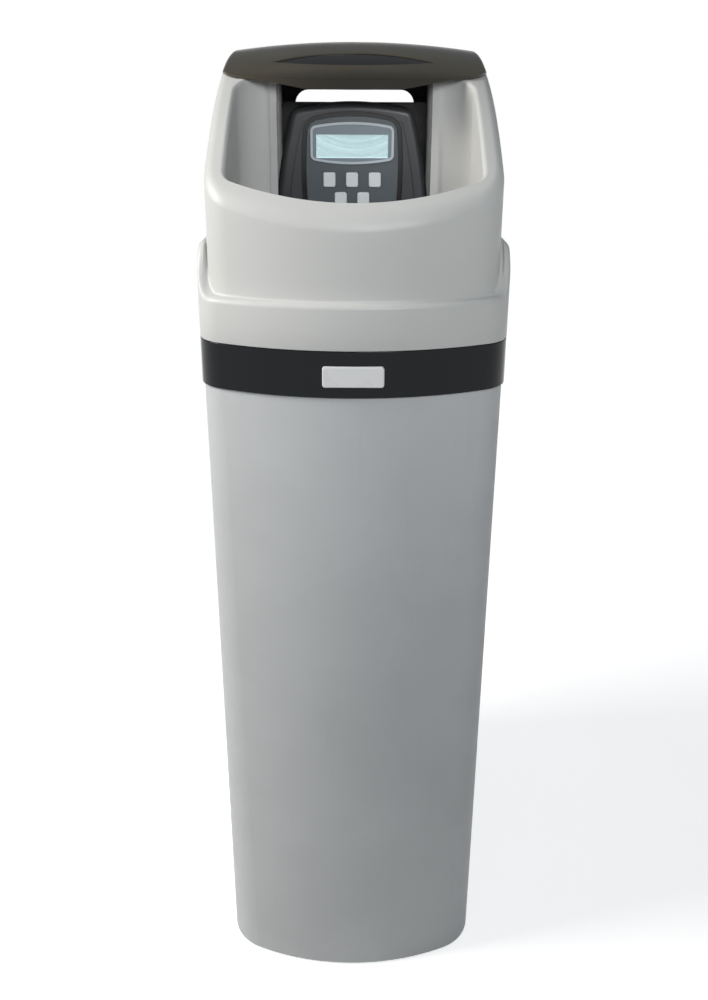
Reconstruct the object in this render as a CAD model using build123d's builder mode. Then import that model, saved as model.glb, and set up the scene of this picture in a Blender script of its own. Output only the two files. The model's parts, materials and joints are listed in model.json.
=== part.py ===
from build123d import *
from math import acos, cos, pi, radians, sin, sqrt, tan
import os

# Cabinet water softener: a tall cabinet with a bowed front, a resin tank and its control
# valve at the back, a salt compartment in front of them, and a curved lid that slides back.
# Millimetres, +Z up, front towards -Y, origin in the middle of the base.

# Plan outline at the trim band
WIDTH = 327.0
DEPTH = 505.0
BOW_R = 299.0
FRONT_CORNER_R = 44.0
REAR_CORNER_R = 30.0
HALF = WIDTH / 2
FRONT = -DEPTH / 2
BACK = DEPTH / 2

# Cabinet shell
BODY_H = 772.0
SHELL_WALL = 4.0
FLOOR_T = 5.0
BASE_TAPER = 4.0
BASE_SETBACK = 5.0
BASE_CORNER_GROWTH = 14.0
BASE_EDGE_R = 7.0
BAND_REVEAL = 2.7
NECK_WALL = 3.5
NECK_RISE = 15.0

# Trim band and its bare badge
BAND_H = 49.0
BAND_T = 4.4
BAND_EDGE_R = 0.8
BADGE_W = 63.0
BADGE_H = 21.5
BADGE_T = 3.0
BADGE_CORNER_R = 3.0
BADGE_DROP = 1.5

# Top cover
SKIRT_H = 47.0
EAR_RISE = 49.0
EAR_START = 45.0
EAR_RUN = 45.0
SKIRT_EDGE_R = 5.0
LEDGE_W = 11.0
FRONT_LEDGE_W = 9.0
BACK_LEDGE_W = 4.0
COVER_WALL = 3.5
SHOULDER_R = 10.0

# Curved top: a surface of revolution about a cross axis, crowned over its width
AXIS_FROM_BACK = 102.0
COVER_RISE = 293.0
TOP_R = 546.0
CROWN_R = 1090.0
CROWN_REACH = 200.0

# Scoop pocket in front of the display, open below to the salt
POCKET_FROM_SIDE = 22.5
POCKET_SETBACK = 30.5
POCKET_DEPTH = 197.5
POCKET_CORNER_R = 15.0
POCKET_REAR_R = 33.0
POCKET_WALL = 3.0
POCKET_FOOT = 29.0
RIM_R = 4.0

# Valve bay behind the pocket
BAY_HALF = 88.0
BAY_SILL = 104.0
BAY_TOP_RUN = 62.0
STRIP_W = 8.0
STRIP_T = 2.0
CLIP_W = 7.0
CLIP_H = 4.0
CLIP_RISE = 179.0
SHROUD_HALF = 98.0
SHROUD_WALL = 2.5
SHROUD_FOOT = 71.0
CUTOUT_HALF = 81.0
CUTOUT_TOP = 239.0
CUTOUT_R = 18.0
GROMMET_BORE_R = 5.0
GROMMET_LIP = 2.5
GROMMET_FROM_SIDE = 40.5
GROMMET_RISE = 129.0

# Rear deck and the lid that slides over it
DECK_FROM_SIDE = 34.5
DECK_T = 3.0
DECK_SEAT = 6.0
DECK_BACK_GAP = 8.5
SLOT_W = 6.0
RUNNER_FROM_SIDE = 52.5
RUNNER_HALF_LENGTH = 5.0
RUNNER_FOOT_W = 12.0
RUNNER_FOOT_T = 3.6
RUNNER_PLAY = 0.5
LID_GAP = 0.8
LID_T = 2.4
LID_INSET = 2.0
LID_EDGE_DROP = 1.4
LID_BOW_R = 280.0
LID_FRONT = 188.5
LID_BACK_GAP = 4.8
LID_FRONT_CORNER_R = 44.0
LID_CORNER_R = 26.0
LID_EDGE_R = 6.0
LIP_DROP = 6.4
LIP_FULL_HALF = 55.0
LIP_HALF = 105.0
RECESS_Y = 65.0
RECESS_HALF_W = 94.0
RECESS_HALF_D = 24.0
RECESS_DEPTH = 1.0
PAD_FROM_SIDE = 15.0
PAD_W = 5.0
PAD_L = 16.0
PAD_SETBACK = 70.0

# Slopes that tell the crest of the skirt and its cross edges apart from the rest
CREST_SLOPE = 0.3
ACROSS = 0.9

# Clearances
SEAT_FIT = 0.3
RUNNING_FIT = 0.08
SLIDE_PLAY = 0.5

# Resin tank
TANK_R = 128.5
TANK_FROM_BACK = 143.0
TANK_WALL = 3.0
TANK_DOME = 70.0
TANK_CLEAR = 7.0
TANK_ABOVE_SKIRT = 24.0
NECK_R = 40.0
NECK_BORE_R = 34.0
NECK_H = 20.0
BOOT_WALL = 4.0
BOOT_H = 90.0
RISER_R = 13.3
RISER_WALL = 2.0
BASKET_R = 30.0
BASKET_H = 34.0
GRAVEL_H = 60.0
RESIN_H = 560.0
BASKET_RIM = 12.0
BASKET_SEAT = 1.0
BASKET_SLITS = 16
BASKET_SLIT_W = 2.0
BASKET_SLIT_H = 7.0
BASKET_SLIT_DROP = 5.0
RISER_ABOVE_NECK = 20.0

# Salt compartment
GRID_Z = 92.0
GRID_T = 4.0
GRID_GAP = 3.0
GRID_HOLE_R = 4.0
GRID_PITCH = 24.0
GRID_LEG_R = 9.0
GRID_BACK = 40.0
GRID_COLUMNS = 13
GRID_ROWS = 12
GRID_MARGIN = 9.0
LEG_FROM_SIDE = 53.5
LEG_ROWS = (42.5, 82.5, 232.5)
FRONT_LEG_X = 15.0
WELL_R = 48.0
WELL_WALL = 2.5
WELL_FROM_SIDE = 71.5
WELL_FROM_FRONT = 115.0
WELL_TOP = 800.0
WELL_CAP_H = 8.0
WELL_SLOT_H = 60.0
WELL_SLOT_W = 12.0
WELL_SLOTS = 6

# Float valve in the brine well
FLOAT_BODY_R = 17.0
FLOAT_BODY_H = 52.0
FLOAT_BODY_TOP = 770.0
FLOAT_R = 22.0
FLOAT_H = 60.0
FLOAT_TRAVEL = 30.0
FLOAT_ROD_R = 2.5
PICKUP_R = 6.5
AIR_CHECK_R = 14.0
AIR_CHECK_H = 60.0
LINE_R = 4.75
LINE_BEND_R = 48.0
LINE_Z = 745.0
LINE_WALL = 1.6
LINE_RUN = 87.5
LINE_SIDE_X = 118.0
LINE_SIDE_BACK = 89.5
LINE_SIDE_DROP = 10.0
SPIGOT_REACH = 8.0
FLOAT_STOP_Z = 300.0
ROD_GRIP = 10.0
BARB_R = 6.5

# Overflow fitting in the back wall
OVERFLOW_X = -100.0
OVERFLOW_Z = 700.0
OVERFLOW_R = 9.5
OVERFLOW_BORE_R = 6.5
OVERFLOW_FLANGE_R = 15.0
OVERFLOW_REACH = 18.0
OVERFLOW_END = 4.0
OVERFLOW_DROP = 38.0
OVERFLOW_BEND_R = 12.0
NUT_AF = 30.0
NUT_T = 8.0

# Valve body
VALVE_X = -2.5
VALVE_RISE = 60.0
VALVE_R = 32.0
BORE_R = 28.0
SPOOL_R = 20.0
STEM_R = 10.0
ADAPTER_R = 46.0
ADAPTER_H = 42.0
SPIGOT_DEPTH = 14.0
BODY_LENGTH = 112.0
BORE_END_WALL = 6.0
FLANGE_R = 42.0
FLANGE_T = 6.0
PORT_X = 42.0
PORT_R = 17.0
PORT_BORE_R = 12.0
PORT_LENGTH = 60.0
PORT_REACH = 8.0
PASSAGE_R = 6.0
SEAL_LENGTH = 92.0
SEAL_GROOVE_W = 9.0
SEAL_GROOVES = 4
SPOOL_START = 8.0
SPOOL_LENGTH = 56.0
LAND_LENGTH = 10.0
ROD_R = 5.0
TURBINE_R = 11.4
TURBINE_LENGTH = 12.0
TURBINE_HUB_R = 3.0
BLADE_T = 1.5
BLADES = 6
INJECTOR_R = 14.0
INJECTOR_BOSS = 10.0
INJECTOR_CAP_L = 12.0
INJECTOR_Y = 22.0
DRAIN_R = 9.0
DRAIN_BOSS_R = 13.0
DRAIN_BOSS_RISE = 38.0
DRAIN_LEG_H = 22.0
DRAIN_BORE_R = 5.0
DRAIN_FROM_BACK = 24.0
DRAIN_COLLAR = 1.0
DRAIN_COLLAR_R = 8.5
DRAIN_BARB_R = 7.5
DRAIN_BARB_REACH = 72.0
BRINE_PORT_RISE = 15.0
BRINE_BOSS_R = 9.0
BRINE_BOSS_REACH = 8.0
BRINE_BARB_REACH = 12.0

# Bypass valve and pipe tails
BYPASS_LENGTH = 50.0
PLUG_CASE_R = 18.0
PLUG_HALF_H = 24.0
BRIDGE_HALF_H = 10.0
BRIDGE_HALF_D = 9.0
ROTOR_R = 13.0
HANDLE_GAP = 0.4
HANDLE_T = 8.0
HANDLE_L = 36.0
HANDLE_W = 12.0
HUB_R = 15.0
TAIL_R = 14.0
TAIL_BORE_R = 10.5
TAIL_FLANGE_T = 3.0
TAIL_SHOULDER = 1.5
TAIL_END_GAP = 6.0
UNION_AF = 44.0
UNION_T = 14.0
UNION_GRIP = 6.0

# Drive side of the valve
FACE_FROM_TANK = 117.0
CASE_DEPTH = 51.5
CASE_WALL = 2.5
CASE_TOP = 125.0
CASE_SHOULDER = (70.0, 117.0)
CASE_MIDDLE = (84.5, 52.0)
CASE_WIDEST = (89.5, 14.0)
CASE_LOWER = (83.0, -34.0)
CASE_FOOT = (60.0, -65.0)
CASE_CORNER_R = 12.0
CASE_EDGE_R = 8.0
CHEEK_INSET = 15.0
CHEEK_GROOVE_W = 1.6
CHEEK_GROOVE_DEPTH = 1.0
BRACKET_T = 4.0
BOLT_CIRCLE_R = 36.0
BOLT_R = 2.2
BOLT_HEAD_R = 4.0
BOLT_HEAD_T = 2.8
POST_R = 3.0
POSTS = ((-50.0, 98.0), (50.0, 98.0), (50.0, 14.0))

# Gear train
MODULE = 1.25
MAIN_TEETH = 60
WHEEL_TEETH = 45
PINION_TEETH = 18
BACKLASH = 0.3
PRESSURE_ANGLE = 20.0
FLANK_STEPS = 4
MAIN_T = 8.0
WHEEL_T = 5.0
GEAR_GAP = 1.2
WHEEL_DIRECTION = 135.0
MOTOR_DIRECTION = 62.0
HUB_JOURNAL_R = 9.0
HUB_NOSE = 4.0
AXLE_R = 2.5
SHAFT_R = 1.5
SHAFT_GRIP = 12.0
MOTOR_R = 16.0
MOTOR_L = 36.0

# Display and keys, measured from the valve axis
PANEL_T = 2.5
PANEL_TOP = 110.0
PANEL_SHOULDER = (51.0, 103.0)
PANEL_MIDDLE = (53.5, 66.0)
PANEL_FOOT = (44.0, -45.0)
PANEL_TOP_R = 14.0
PANEL_FOOT_R = 8.0
PANEL_LAP = 1.5
GROOVE_W = 5.5
BEZEL_W = 97.0
BEZEL_H = 47.0
BEZEL_ARCH = 5.0
BEZEL_RISE = 80.5
BEZEL_PROUD = 2.0
BEZEL_CORNER_R = 7.0
BEZEL_RIM_W = 3.0
BEZEL_RIM_DEPTH = 1.2
WINDOW_W = 83.0
WINDOW_H = 26.0
WINDOW_DROP = 3.5
LENS_SINK = 0.8
LENS_LAP = 2.5
LENS_FLANGE_T = 1.0
KEY_W = 14.0
KEY_H = 16.5
KEY_R = 2.5
KEY_PROUD = 2.0
KEY_PLAY = 0.4
KEY_LAP = 1.5
KEY_FLANGE_T = 1.0
KEY_TRAVEL = 1.2
KEY_PITCH = 26.5
KEY_ROW_RISE = 40.0
KEY_ROW_STEP = 22.3
KEY_STEM_R = 3.0
KEY_EDGE_R = 0.8
BOARD_DEPTH = 17.5
BOARD_T = 1.6
BOARD_HALF_W = 56.0
BOARD_TOP = 106.0
BOARD_BOTTOM = 8.0
SWITCH_W = 6.0
SWITCH_H = 5.5

# Fasteners of the top cover
SCREW_HEAD_R = 4.5
SCREW_HEAD_T = 1.8
SCREW_R = 2.0
SCREW_X = 118.0
SCREW_RISE = 8.0

# Places that follow from the sizes above
BAND_Z = BODY_H
SKIRT_Z = BAND_Z + BAND_H
LEDGE_Z = SKIRT_Z + SKIRT_H
EAR_Z = LEDGE_Z + EAR_RISE
NECK_INSET = BAND_T + SEAT_FIT
AXIS_Y = BACK - AXIS_FROM_BACK
AXIS_Z = SKIRT_Z + COVER_RISE - TOP_R
ABOVE_ALL = AXIS_Z + TOP_R + 40.0
COVER_FRONT = FRONT + FRONT_LEDGE_W
COVER_HALF = HALF - LEDGE_W
COVER_BACK = BACK - BACK_LEDGE_W
POCKET_HALF = COVER_HALF - POCKET_FROM_SIDE
POCKET_FRONT = FRONT + POCKET_SETBACK
POCKET_BACK = POCKET_FRONT + POCKET_DEPTH
POCKET_BOTTOM = SKIRT_Z + POCKET_FOOT
BAY_FRONT = POCKET_BACK + POCKET_WALL
BAY_BACK = COVER_BACK - COVER_WALL
SILL_Z = SKIRT_Z + BAY_SILL
DECK_FRONT = POCKET_BACK + BAY_TOP_RUN
DECK_BACK = COVER_BACK - DECK_BACK_GAP
DECK_HALF = COVER_HALF - DECK_FROM_SIDE
RUNNER_X = COVER_HALF - RUNNER_FROM_SIDE
LID_R = TOP_R + LID_GAP + LID_T
LID_HALF = COVER_HALF - LID_INSET
PAD_X = LID_HALF - PAD_FROM_SIDE
TANK_Y = BACK - TANK_FROM_BACK
TANK_Z = FLOOR_T + TANK_CLEAR
TANK_TOP = SKIRT_Z + TANK_ABOVE_SKIRT
NECK_TOP = TANK_TOP + NECK_H
VALVE_Z = NECK_TOP + VALVE_RISE
FACE_Y = TANK_Y - FACE_FROM_TANK
BRACKET_Y = FACE_Y + CASE_DEPTH
BODY_Y = BRACKET_Y + BRACKET_T
BODY_BACK = BODY_Y + BODY_LENGTH
PORT_END = BODY_BACK + PORT_REACH
BYPASS_END = PORT_END + BYPASS_LENGTH
PLUG_Y = PORT_END + BYPASS_LENGTH / 2
BOARD_Y = FACE_Y + BOARD_DEPTH
MAIN_Y = BRACKET_Y - BOLT_HEAD_T - GEAR_GAP / 2 - MAIN_T
WHEEL_Y = MAIN_Y - GEAR_GAP - WHEEL_T
WELL_X = HALF - WELL_FROM_SIDE
WELL_Y = FRONT + WELL_FROM_FRONT
LINE_START_Y = WELL_Y + WELL_R + SPIGOT_REACH
SLOT_BACK = DECK_BACK - DECK_SEAT
RUNNER_Y = SLOT_BACK - RUNNER_HALF_LENGTH - 3 * RUNNER_PLAY
PAD_Y = FRONT + LID_FRONT + PAD_SETBACK
GROMMET_X = COVER_HALF - GROMMET_FROM_SIDE
GROMMET_Z = SKIRT_Z + GROMMET_RISE
CLIP_Z = SKIRT_Z + CLIP_RISE
STRIP_EDGE = BAY_HALF + STRIP_W
SHELL_BACK = BACK - BAND_REVEAL
RISER_TOP = NECK_TOP + RISER_ABOVE_NECK
GRID_MIDDLE_Y = (FRONT + GRID_BACK) / 2
LEG_X = HALF - LEG_FROM_SIDE
GRID_LEGS = [(FRONT_LEG_X, FRONT + LEG_ROWS[0]), (-LEG_X, FRONT + LEG_ROWS[1]),
             (-LEG_X, FRONT + LEG_ROWS[2]), (LEG_X, FRONT + LEG_ROWS[2])]
BRINE_PORT_Z = NECK_TOP + BRINE_PORT_RISE
BRINE_BARB_X = VALVE_X + ADAPTER_R + BRINE_BOSS_REACH + BRINE_BARB_REACH
DRAIN_Y = BODY_BACK - DRAIN_FROM_BACK
DRAIN_BARB_RISE = DRAIN_BOSS_RISE + DRAIN_LEG_H / 2
PLUG_FLOOR_Z = VALVE_Z - PLUG_HALF_H + HANDLE_T / 2
TURBINE_Y = PORT_END - TURBINE_LENGTH - PASSAGE_R
ROD_FRONT = BOARD_Y + BOARD_T + HUB_NOSE
BOLT_SPOTS = [(BOLT_CIRCLE_R * cos(radians(turn)), BOLT_CIRCLE_R * sin(radians(turn)))
              for turn in (45, 180, 225, 315)]
KEY_SPOTS = {
    "key_left": (-KEY_PITCH, KEY_ROW_RISE),
    "key_middle": (0.0, KEY_ROW_RISE),
    "key_right": (KEY_PITCH, KEY_ROW_RISE),
    "key_up": (-KEY_PITCH / 2, KEY_ROW_RISE - KEY_ROW_STEP),
    "key_down": (KEY_PITCH / 2, KEY_ROW_RISE - KEY_ROW_STEP)}


def beside(spot, reach, direction):
    """The place at this reach from another one, with the direction in degrees."""
    return (spot[0] + reach * cos(radians(direction)), spot[1] + reach * sin(radians(direction)))


def meshing_turn(turn, teeth, next_teeth, direction):
    """Where the next gear's first tooth points so that it meets a gap of the first gear."""
    return direction + 180 + 180 / next_teeth - (turn - direction) * teeth / next_teeth


WHEEL_SPOT = beside((0, 0), MODULE * (MAIN_TEETH + PINION_TEETH) / 2, WHEEL_DIRECTION)
MOTOR_SPOT = beside(WHEEL_SPOT, MODULE * (WHEEL_TEETH + PINION_TEETH) / 2, MOTOR_DIRECTION)
WHEEL_TURN = meshing_turn(0, MAIN_TEETH, PINION_TEETH, WHEEL_DIRECTION)
MOTOR_TURN = meshing_turn(WHEEL_TURN, WHEEL_TEETH, PINION_TEETH, MOTOR_DIRECTION)


def outline(half, front, back, bow, corner, rear):
    """The plan of the cabinet as a list of its six sizes."""
    return {"half": half, "front": front, "back": back, "bow": bow, "corner": corner, "rear": rear}


def plan(sizes, inset=0.0):
    """A bowed front between rounded corners, straight sides and a flat back."""
    half = sizes["half"] - inset
    front = sizes["front"] + inset
    back = sizes["back"] - inset
    with BuildSketch() as drawn:
        with Locations((0, (front + back) / 2)):
            Rectangle(2 * half, back - front)
        with Locations((0, front + sizes["bow"] - inset)):
            Circle(sizes["bow"] - inset, mode=Mode.INTERSECT)
        fillet(drawn.vertices().group_by(Axis.Y)[0], sizes["corner"] - inset)
        fillet(drawn.vertices().group_by(Axis.Y)[-1], sizes["rear"] - inset)
    return drawn.sketch


def at_y(y):
    """A plane across the object: x is X, y is Z, and its normal faces the front."""
    return Plane(origin=(0, y, 0), x_dir=(1, 0, 0), z_dir=(0, -1, 0))


def dome(radius):
    """Everything under the crowned surface of revolution of this radius."""
    crown = CROWN_R + radius - TOP_R
    edge = AXIS_Z + radius - crown + sqrt(crown**2 - CROWN_REACH**2)
    with BuildPart() as body:
        with BuildSketch(at_y(AXIS_Y)):
            with BuildLine():
                ThreePointArc((-CROWN_REACH, edge), (0, AXIS_Z + radius), (CROWN_REACH, edge))
                Polyline((CROWN_REACH, edge), (CROWN_REACH, AXIS_Z), (-CROWN_REACH, AXIS_Z),
                         (-CROWN_REACH, edge))
            make_face()
        revolve(axis=Axis((0, AXIS_Y, AXIS_Z), (1, 0, 0)))
    return body.part


def prism(sketch, bottom, top):
    """A plan sketch raised from one height to another."""
    with BuildPart() as body:
        with BuildSketch(Plane.XY.offset(bottom)):
            add(sketch)
        extrude(amount=top - bottom)
    return body.part


def slab(x0, x1, y0, y1, z0, z1):
    """A box given by its limits."""
    with BuildPart() as body:
        with Locations(((x0 + x1) / 2, (y0 + y1) / 2, (z0 + z1) / 2)):
            Box(x1 - x0, y1 - y0, z1 - z0)
    return body.part


def cutout(front, back):
    """The pipe opening of the back wall, open below, between two depths."""
    with BuildPart() as body:
        with BuildSketch(at_y(back)) as shape:
            with Locations((0, SKIRT_Z + CUTOUT_TOP / 2)):
                Rectangle(2 * CUTOUT_HALF, CUTOUT_TOP)
            fillet(shape.vertices().group_by(Axis.Y)[-1], CUTOUT_R)
        extrude(amount=back - front)
    return body.part


def clear_of_edges(spot):
    """Whether a hole of the salt grid at this place keeps its margin on every side."""
    reach = GRID_HOLE_R + GRID_MARGIN
    x, y = spot
    from_tank = sqrt((x - VALVE_X) ** 2 + (y - TANK_Y) ** 2)
    from_well = sqrt((x - WELL_X) ** 2 + (y - WELL_Y) ** 2)
    from_bow = BOW_R - sqrt(x**2 + (y - FRONT - BOW_R) ** 2)
    from_legs = min(sqrt((x - leg_x) ** 2 + (y - leg_y) ** 2) for leg_x, leg_y in GRID_LEGS)
    corner_x = abs(x) - HALF + 2 * FRONT_CORNER_R
    corner_y = FRONT + 2 * FRONT_CORNER_R - y
    rounded = corner_x > 0 and corner_y > 0 and corner_x + corner_y > 2 * FRONT_CORNER_R
    return (from_tank > TANK_R + BOOT_WALL + reach and from_well > WELL_R + reach
            and from_bow > BAND_T + BASE_SETBACK + reach + GRID_GAP and not rounded
            and from_legs > GRID_LEG_R + reach and abs(x) < HALF - BAND_T - 2 * reach
            and y < GRID_BACK - reach)


def capped(sketch, bottom, radius, edge=0.0):
    """A plan sketch raised to the curved surface of this radius, with a rounded upper edge."""
    with BuildPart() as body:
        add(prism(sketch, bottom, ABOVE_ALL))
        add(dome(radius), mode=Mode.INTERSECT)
        if edge:
            fillet(body.faces().sort_by(Axis.Z)[-1].edges(), edge)
    return body.part


def above_dome(solid, radius):
    """What of a solid lies above the curved surface of this radius."""
    with BuildPart() as body:
        add(solid)
        add(dome(radius), mode=Mode.SUBTRACT)
    return body.part


def under_dome(radius, x0, x1, y0, y1, z0):
    """A box whose top is cut to the curved surface of this radius."""
    with BuildPart() as body:
        add(slab(x0, x1, y0, y1, z0, ABOVE_ALL))
        add(dome(radius), mode=Mode.INTERSECT)
    return body.part


BAND = outline(HALF, FRONT, BACK, BOW_R, FRONT_CORNER_R, REAR_CORNER_R)
BODY_TOP = outline(HALF - BAND_REVEAL, FRONT + BAND_REVEAL, BACK - BAND_REVEAL,
                   BOW_R - BAND_REVEAL, FRONT_CORNER_R - BAND_REVEAL, REAR_CORNER_R)
BODY_BASE = outline(HALF - BAND_REVEAL - BASE_TAPER, FRONT + BAND_REVEAL + BASE_SETBACK,
                    BACK - BAND_REVEAL, BOW_R - BAND_REVEAL,
                    FRONT_CORNER_R + BASE_CORNER_GROWTH, REAR_CORNER_R)
COVER = outline(COVER_HALF, COVER_FRONT, COVER_BACK, BOW_R - FRONT_LEDGE_W,
                FRONT_CORNER_R, REAR_CORNER_R)
POCKET = outline(POCKET_HALF, POCKET_FRONT, POCKET_BACK, BOW_R - POCKET_SETBACK,
                 POCKET_CORNER_R, POCKET_REAR_R)
LID = outline(LID_HALF, FRONT + LID_FRONT, BACK - LID_BACK_GAP, LID_BOW_R, LID_FRONT_CORNER_R,
              LID_CORNER_R)
LID_BLANK = outline(LID_HALF, FRONT, BACK - LID_BACK_GAP, BOW_R, FRONT_CORNER_R, LID_CORNER_R)

# Cabinet shell: drafted bucket with a neck that locates the band and the top cover
with BuildPart() as cabinet_shell:
    with BuildSketch():
        add(plan(BODY_BASE))
    with BuildSketch(Plane.XY.offset(BODY_H)):
        add(plan(BODY_TOP))
    loft(ruled=True)
    fillet(cabinet_shell.faces().sort_by(Axis.Z)[0].edges(), BASE_EDGE_R)
    with BuildSketch(Plane.XY.offset(BODY_H)):
        add(plan(BAND, NECK_INSET))
    extrude(amount=BAND_H + NECK_RISE)
    with BuildSketch(Plane.XY.offset(FLOOR_T)):
        add(plan(BODY_BASE, SHELL_WALL))
    with BuildSketch(Plane.XY.offset(BODY_H - SHELL_WALL)):
        add(plan(BODY_TOP, SHELL_WALL))
    loft(ruled=True, mode=Mode.SUBTRACT)
    with BuildSketch(Plane.XY.offset(BODY_H - 2 * SHELL_WALL)):
        add(plan(BAND, NECK_INSET + NECK_WALL))
    extrude(amount=BAND_H + NECK_RISE + 2 * SHELL_WALL, mode=Mode.SUBTRACT)
    with BuildSketch(at_y(BACK)):
        with Locations((OVERFLOW_X, OVERFLOW_Z)):
            Circle(OVERFLOW_R + SEAT_FIT)
    extrude(amount=-REAR_CORNER_R, both=True, mode=Mode.SUBTRACT)
    with BuildSketch(at_y(BACK)):
        with Locations((-SCREW_X, SKIRT_Z + SCREW_RISE), (SCREW_X, SKIRT_Z + SCREW_RISE)):
            Circle(SCREW_R)
    extrude(amount=REAR_CORNER_R, mode=Mode.SUBTRACT)

# Trim band: a plain ring on the step of the shell
with BuildPart() as trim_band:
    with BuildSketch(Plane.XY.offset(BAND_Z)):
        add(plan(BAND))
        add(plan(BAND, BAND_T), mode=Mode.SUBTRACT)
    extrude(amount=BAND_H)
    rims = trim_band.edges().filter_by(
        lambda e: abs(e.center().Z - BAND_Z - BAND_H / 2) > BAND_EDGE_R)
    outer = [e for e in rims if plan(BAND).face().outer_wire().distance_to(
        Vertex(e.center().X, e.center().Y, 0)) < SEAT_FIT]
    fillet(outer, BAND_EDGE_R)

# Badge: its back follows the bow of the band, and its face is bare
with BuildPart() as name_plate:
    with BuildSketch(at_y(FRONT - BADGE_T)):
        with Locations((0, BAND_Z + BAND_H / 2 - BADGE_DROP)):
            RectangleRounded(BADGE_W, BADGE_H, BADGE_CORNER_R)
    extrude(amount=-3 * BADGE_T)
    add(prism(plan(BAND), BAND_Z, SKIRT_Z), mode=Mode.SUBTRACT)
    fillet(name_plate.faces().sort_by(Axis.Y)[0].edges(), BADGE_T / 3)

# Top cover: skirt with raised ears, upper box under the curved top, pocket walls
with BuildPart() as top_cover:
    add(prism(plan(BAND), SKIRT_Z, EAR_Z))
    with BuildSketch(Plane.YZ):
        with BuildLine():
            low = (FRONT + EAR_START, LEDGE_Z)
            high = (FRONT + EAR_START + EAR_RUN, EAR_Z)
            Spline(low, high, tangents=((1, 0), (1, 0)))
            Polyline(high, (BACK + BAND_T, EAR_Z), (BACK + BAND_T, SKIRT_Z),
                     (FRONT - BAND_T, SKIRT_Z), (FRONT - BAND_T, LEDGE_Z), low)
        make_face()
    extrude(amount=WIDTH, both=True, mode=Mode.INTERSECT)
    crest = top_cover.faces().filter_by(lambda f: f.normal_at().Z > CREST_SLOPE)
    fillet(crest.edges().filter_by(lambda e: e.geom_type != GeomType.LINE
                                   or abs(e.tangent_at(0).X) < ACROSS or e.center().Y > 0),
           SKIRT_EDGE_R)
    add(prism(plan(COVER), SKIRT_Z, ABOVE_ALL))
    add(dome(TOP_R), mode=Mode.INTERSECT)
    fillet(top_cover.faces().sort_by(Axis.Z)[-1].edges(), SHOULDER_R)
    add(prism(plan(BAND, BAND_T), SKIRT_Z, LEDGE_Z - COVER_WALL), mode=Mode.SUBTRACT)
    add(capped(plan(COVER, COVER_WALL), SKIRT_Z, TOP_R - COVER_WALL), mode=Mode.SUBTRACT)
    add(above_dome(under_dome(TOP_R - COVER_WALL, -DECK_HALF - DECK_SEAT, DECK_HALF + DECK_SEAT,
                              DECK_FRONT, BAY_BACK, LEDGE_Z), TOP_R - COVER_WALL - DECK_T))
    add(capped(plan(POCKET, -POCKET_WALL), POCKET_BOTTOM, TOP_R - COVER_WALL / 2))
    add(prism(plan(POCKET), SKIRT_Z, ABOVE_ALL), mode=Mode.SUBTRACT)
    summit = top_cover.faces().sort_by(lambda f: f.bounding_box().max.Z)[-1]
    fillet(summit.inner_wires()[0].edges(), RIM_R)
    add(slab(-BAY_HALF, BAY_HALF, POCKET_BACK - POCKET_WALL, DECK_FRONT, SILL_Z, ABOVE_ALL),
        mode=Mode.SUBTRACT)
    add(above_dome(slab(-DECK_HALF, DECK_HALF, DECK_FRONT, DECK_BACK, EAR_Z, ABOVE_ALL),
                   TOP_R - DECK_T), mode=Mode.SUBTRACT)
    add(slab(DECK_SEAT - DECK_HALF, DECK_HALF - DECK_SEAT, DECK_FRONT - DECK_SEAT, SLOT_BACK,
             EAR_Z, ABOVE_ALL), mode=Mode.SUBTRACT)
    add(cutout(BAY_BACK - DECK_SEAT, BACK + BAND_T), mode=Mode.SUBTRACT)
    with BuildSketch(at_y(BACK + BAND_T)):
        with Locations((-SCREW_X, SKIRT_Z + SCREW_RISE), (SCREW_X, SKIRT_Z + SCREW_RISE)):
            Circle(SCREW_R + RUNNING_FIT)
    extrude(amount=REAR_CORNER_R, mode=Mode.SUBTRACT)
    with BuildSketch(at_y(BACK)):
        with Locations((GROMMET_X, GROMMET_Z)):
            Circle(GROMMET_BORE_R + GROMMET_LIP)
    extrude(amount=REAR_CORNER_R, mode=Mode.SUBTRACT)

# Screws that hold the cover to the neck of the shell
with BuildPart() as cover_screws:
    with BuildSketch(at_y(BACK)):
        with Locations((-SCREW_X, SKIRT_Z + SCREW_RISE), (SCREW_X, SKIRT_Z + SCREW_RISE)):
            Circle(SCREW_HEAD_R)
    extrude(amount=-SCREW_HEAD_T)
    fillet(cover_screws.faces().group_by(Axis.Y)[-1].edges(), SCREW_HEAD_T / 2)
    with BuildSketch(at_y(BACK)):
        with Locations((-SCREW_X, SKIRT_Z + SCREW_RISE), (SCREW_X, SKIRT_Z + SCREW_RISE)):
            Circle(SCREW_R)
    extrude(amount=NECK_INSET + NECK_WALL)
    with BuildSketch(at_y(BACK + SCREW_HEAD_T)):
        with Locations((-SCREW_X, SKIRT_Z + SCREW_RISE), (SCREW_X, SKIRT_Z + SCREW_RISE)):
            Rectangle(SCREW_HEAD_R, SCREW_HEAD_T / 2)
            Rectangle(SCREW_HEAD_T / 2, SCREW_HEAD_R)
    extrude(amount=SCREW_HEAD_T / 2, mode=Mode.SUBTRACT)

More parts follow.
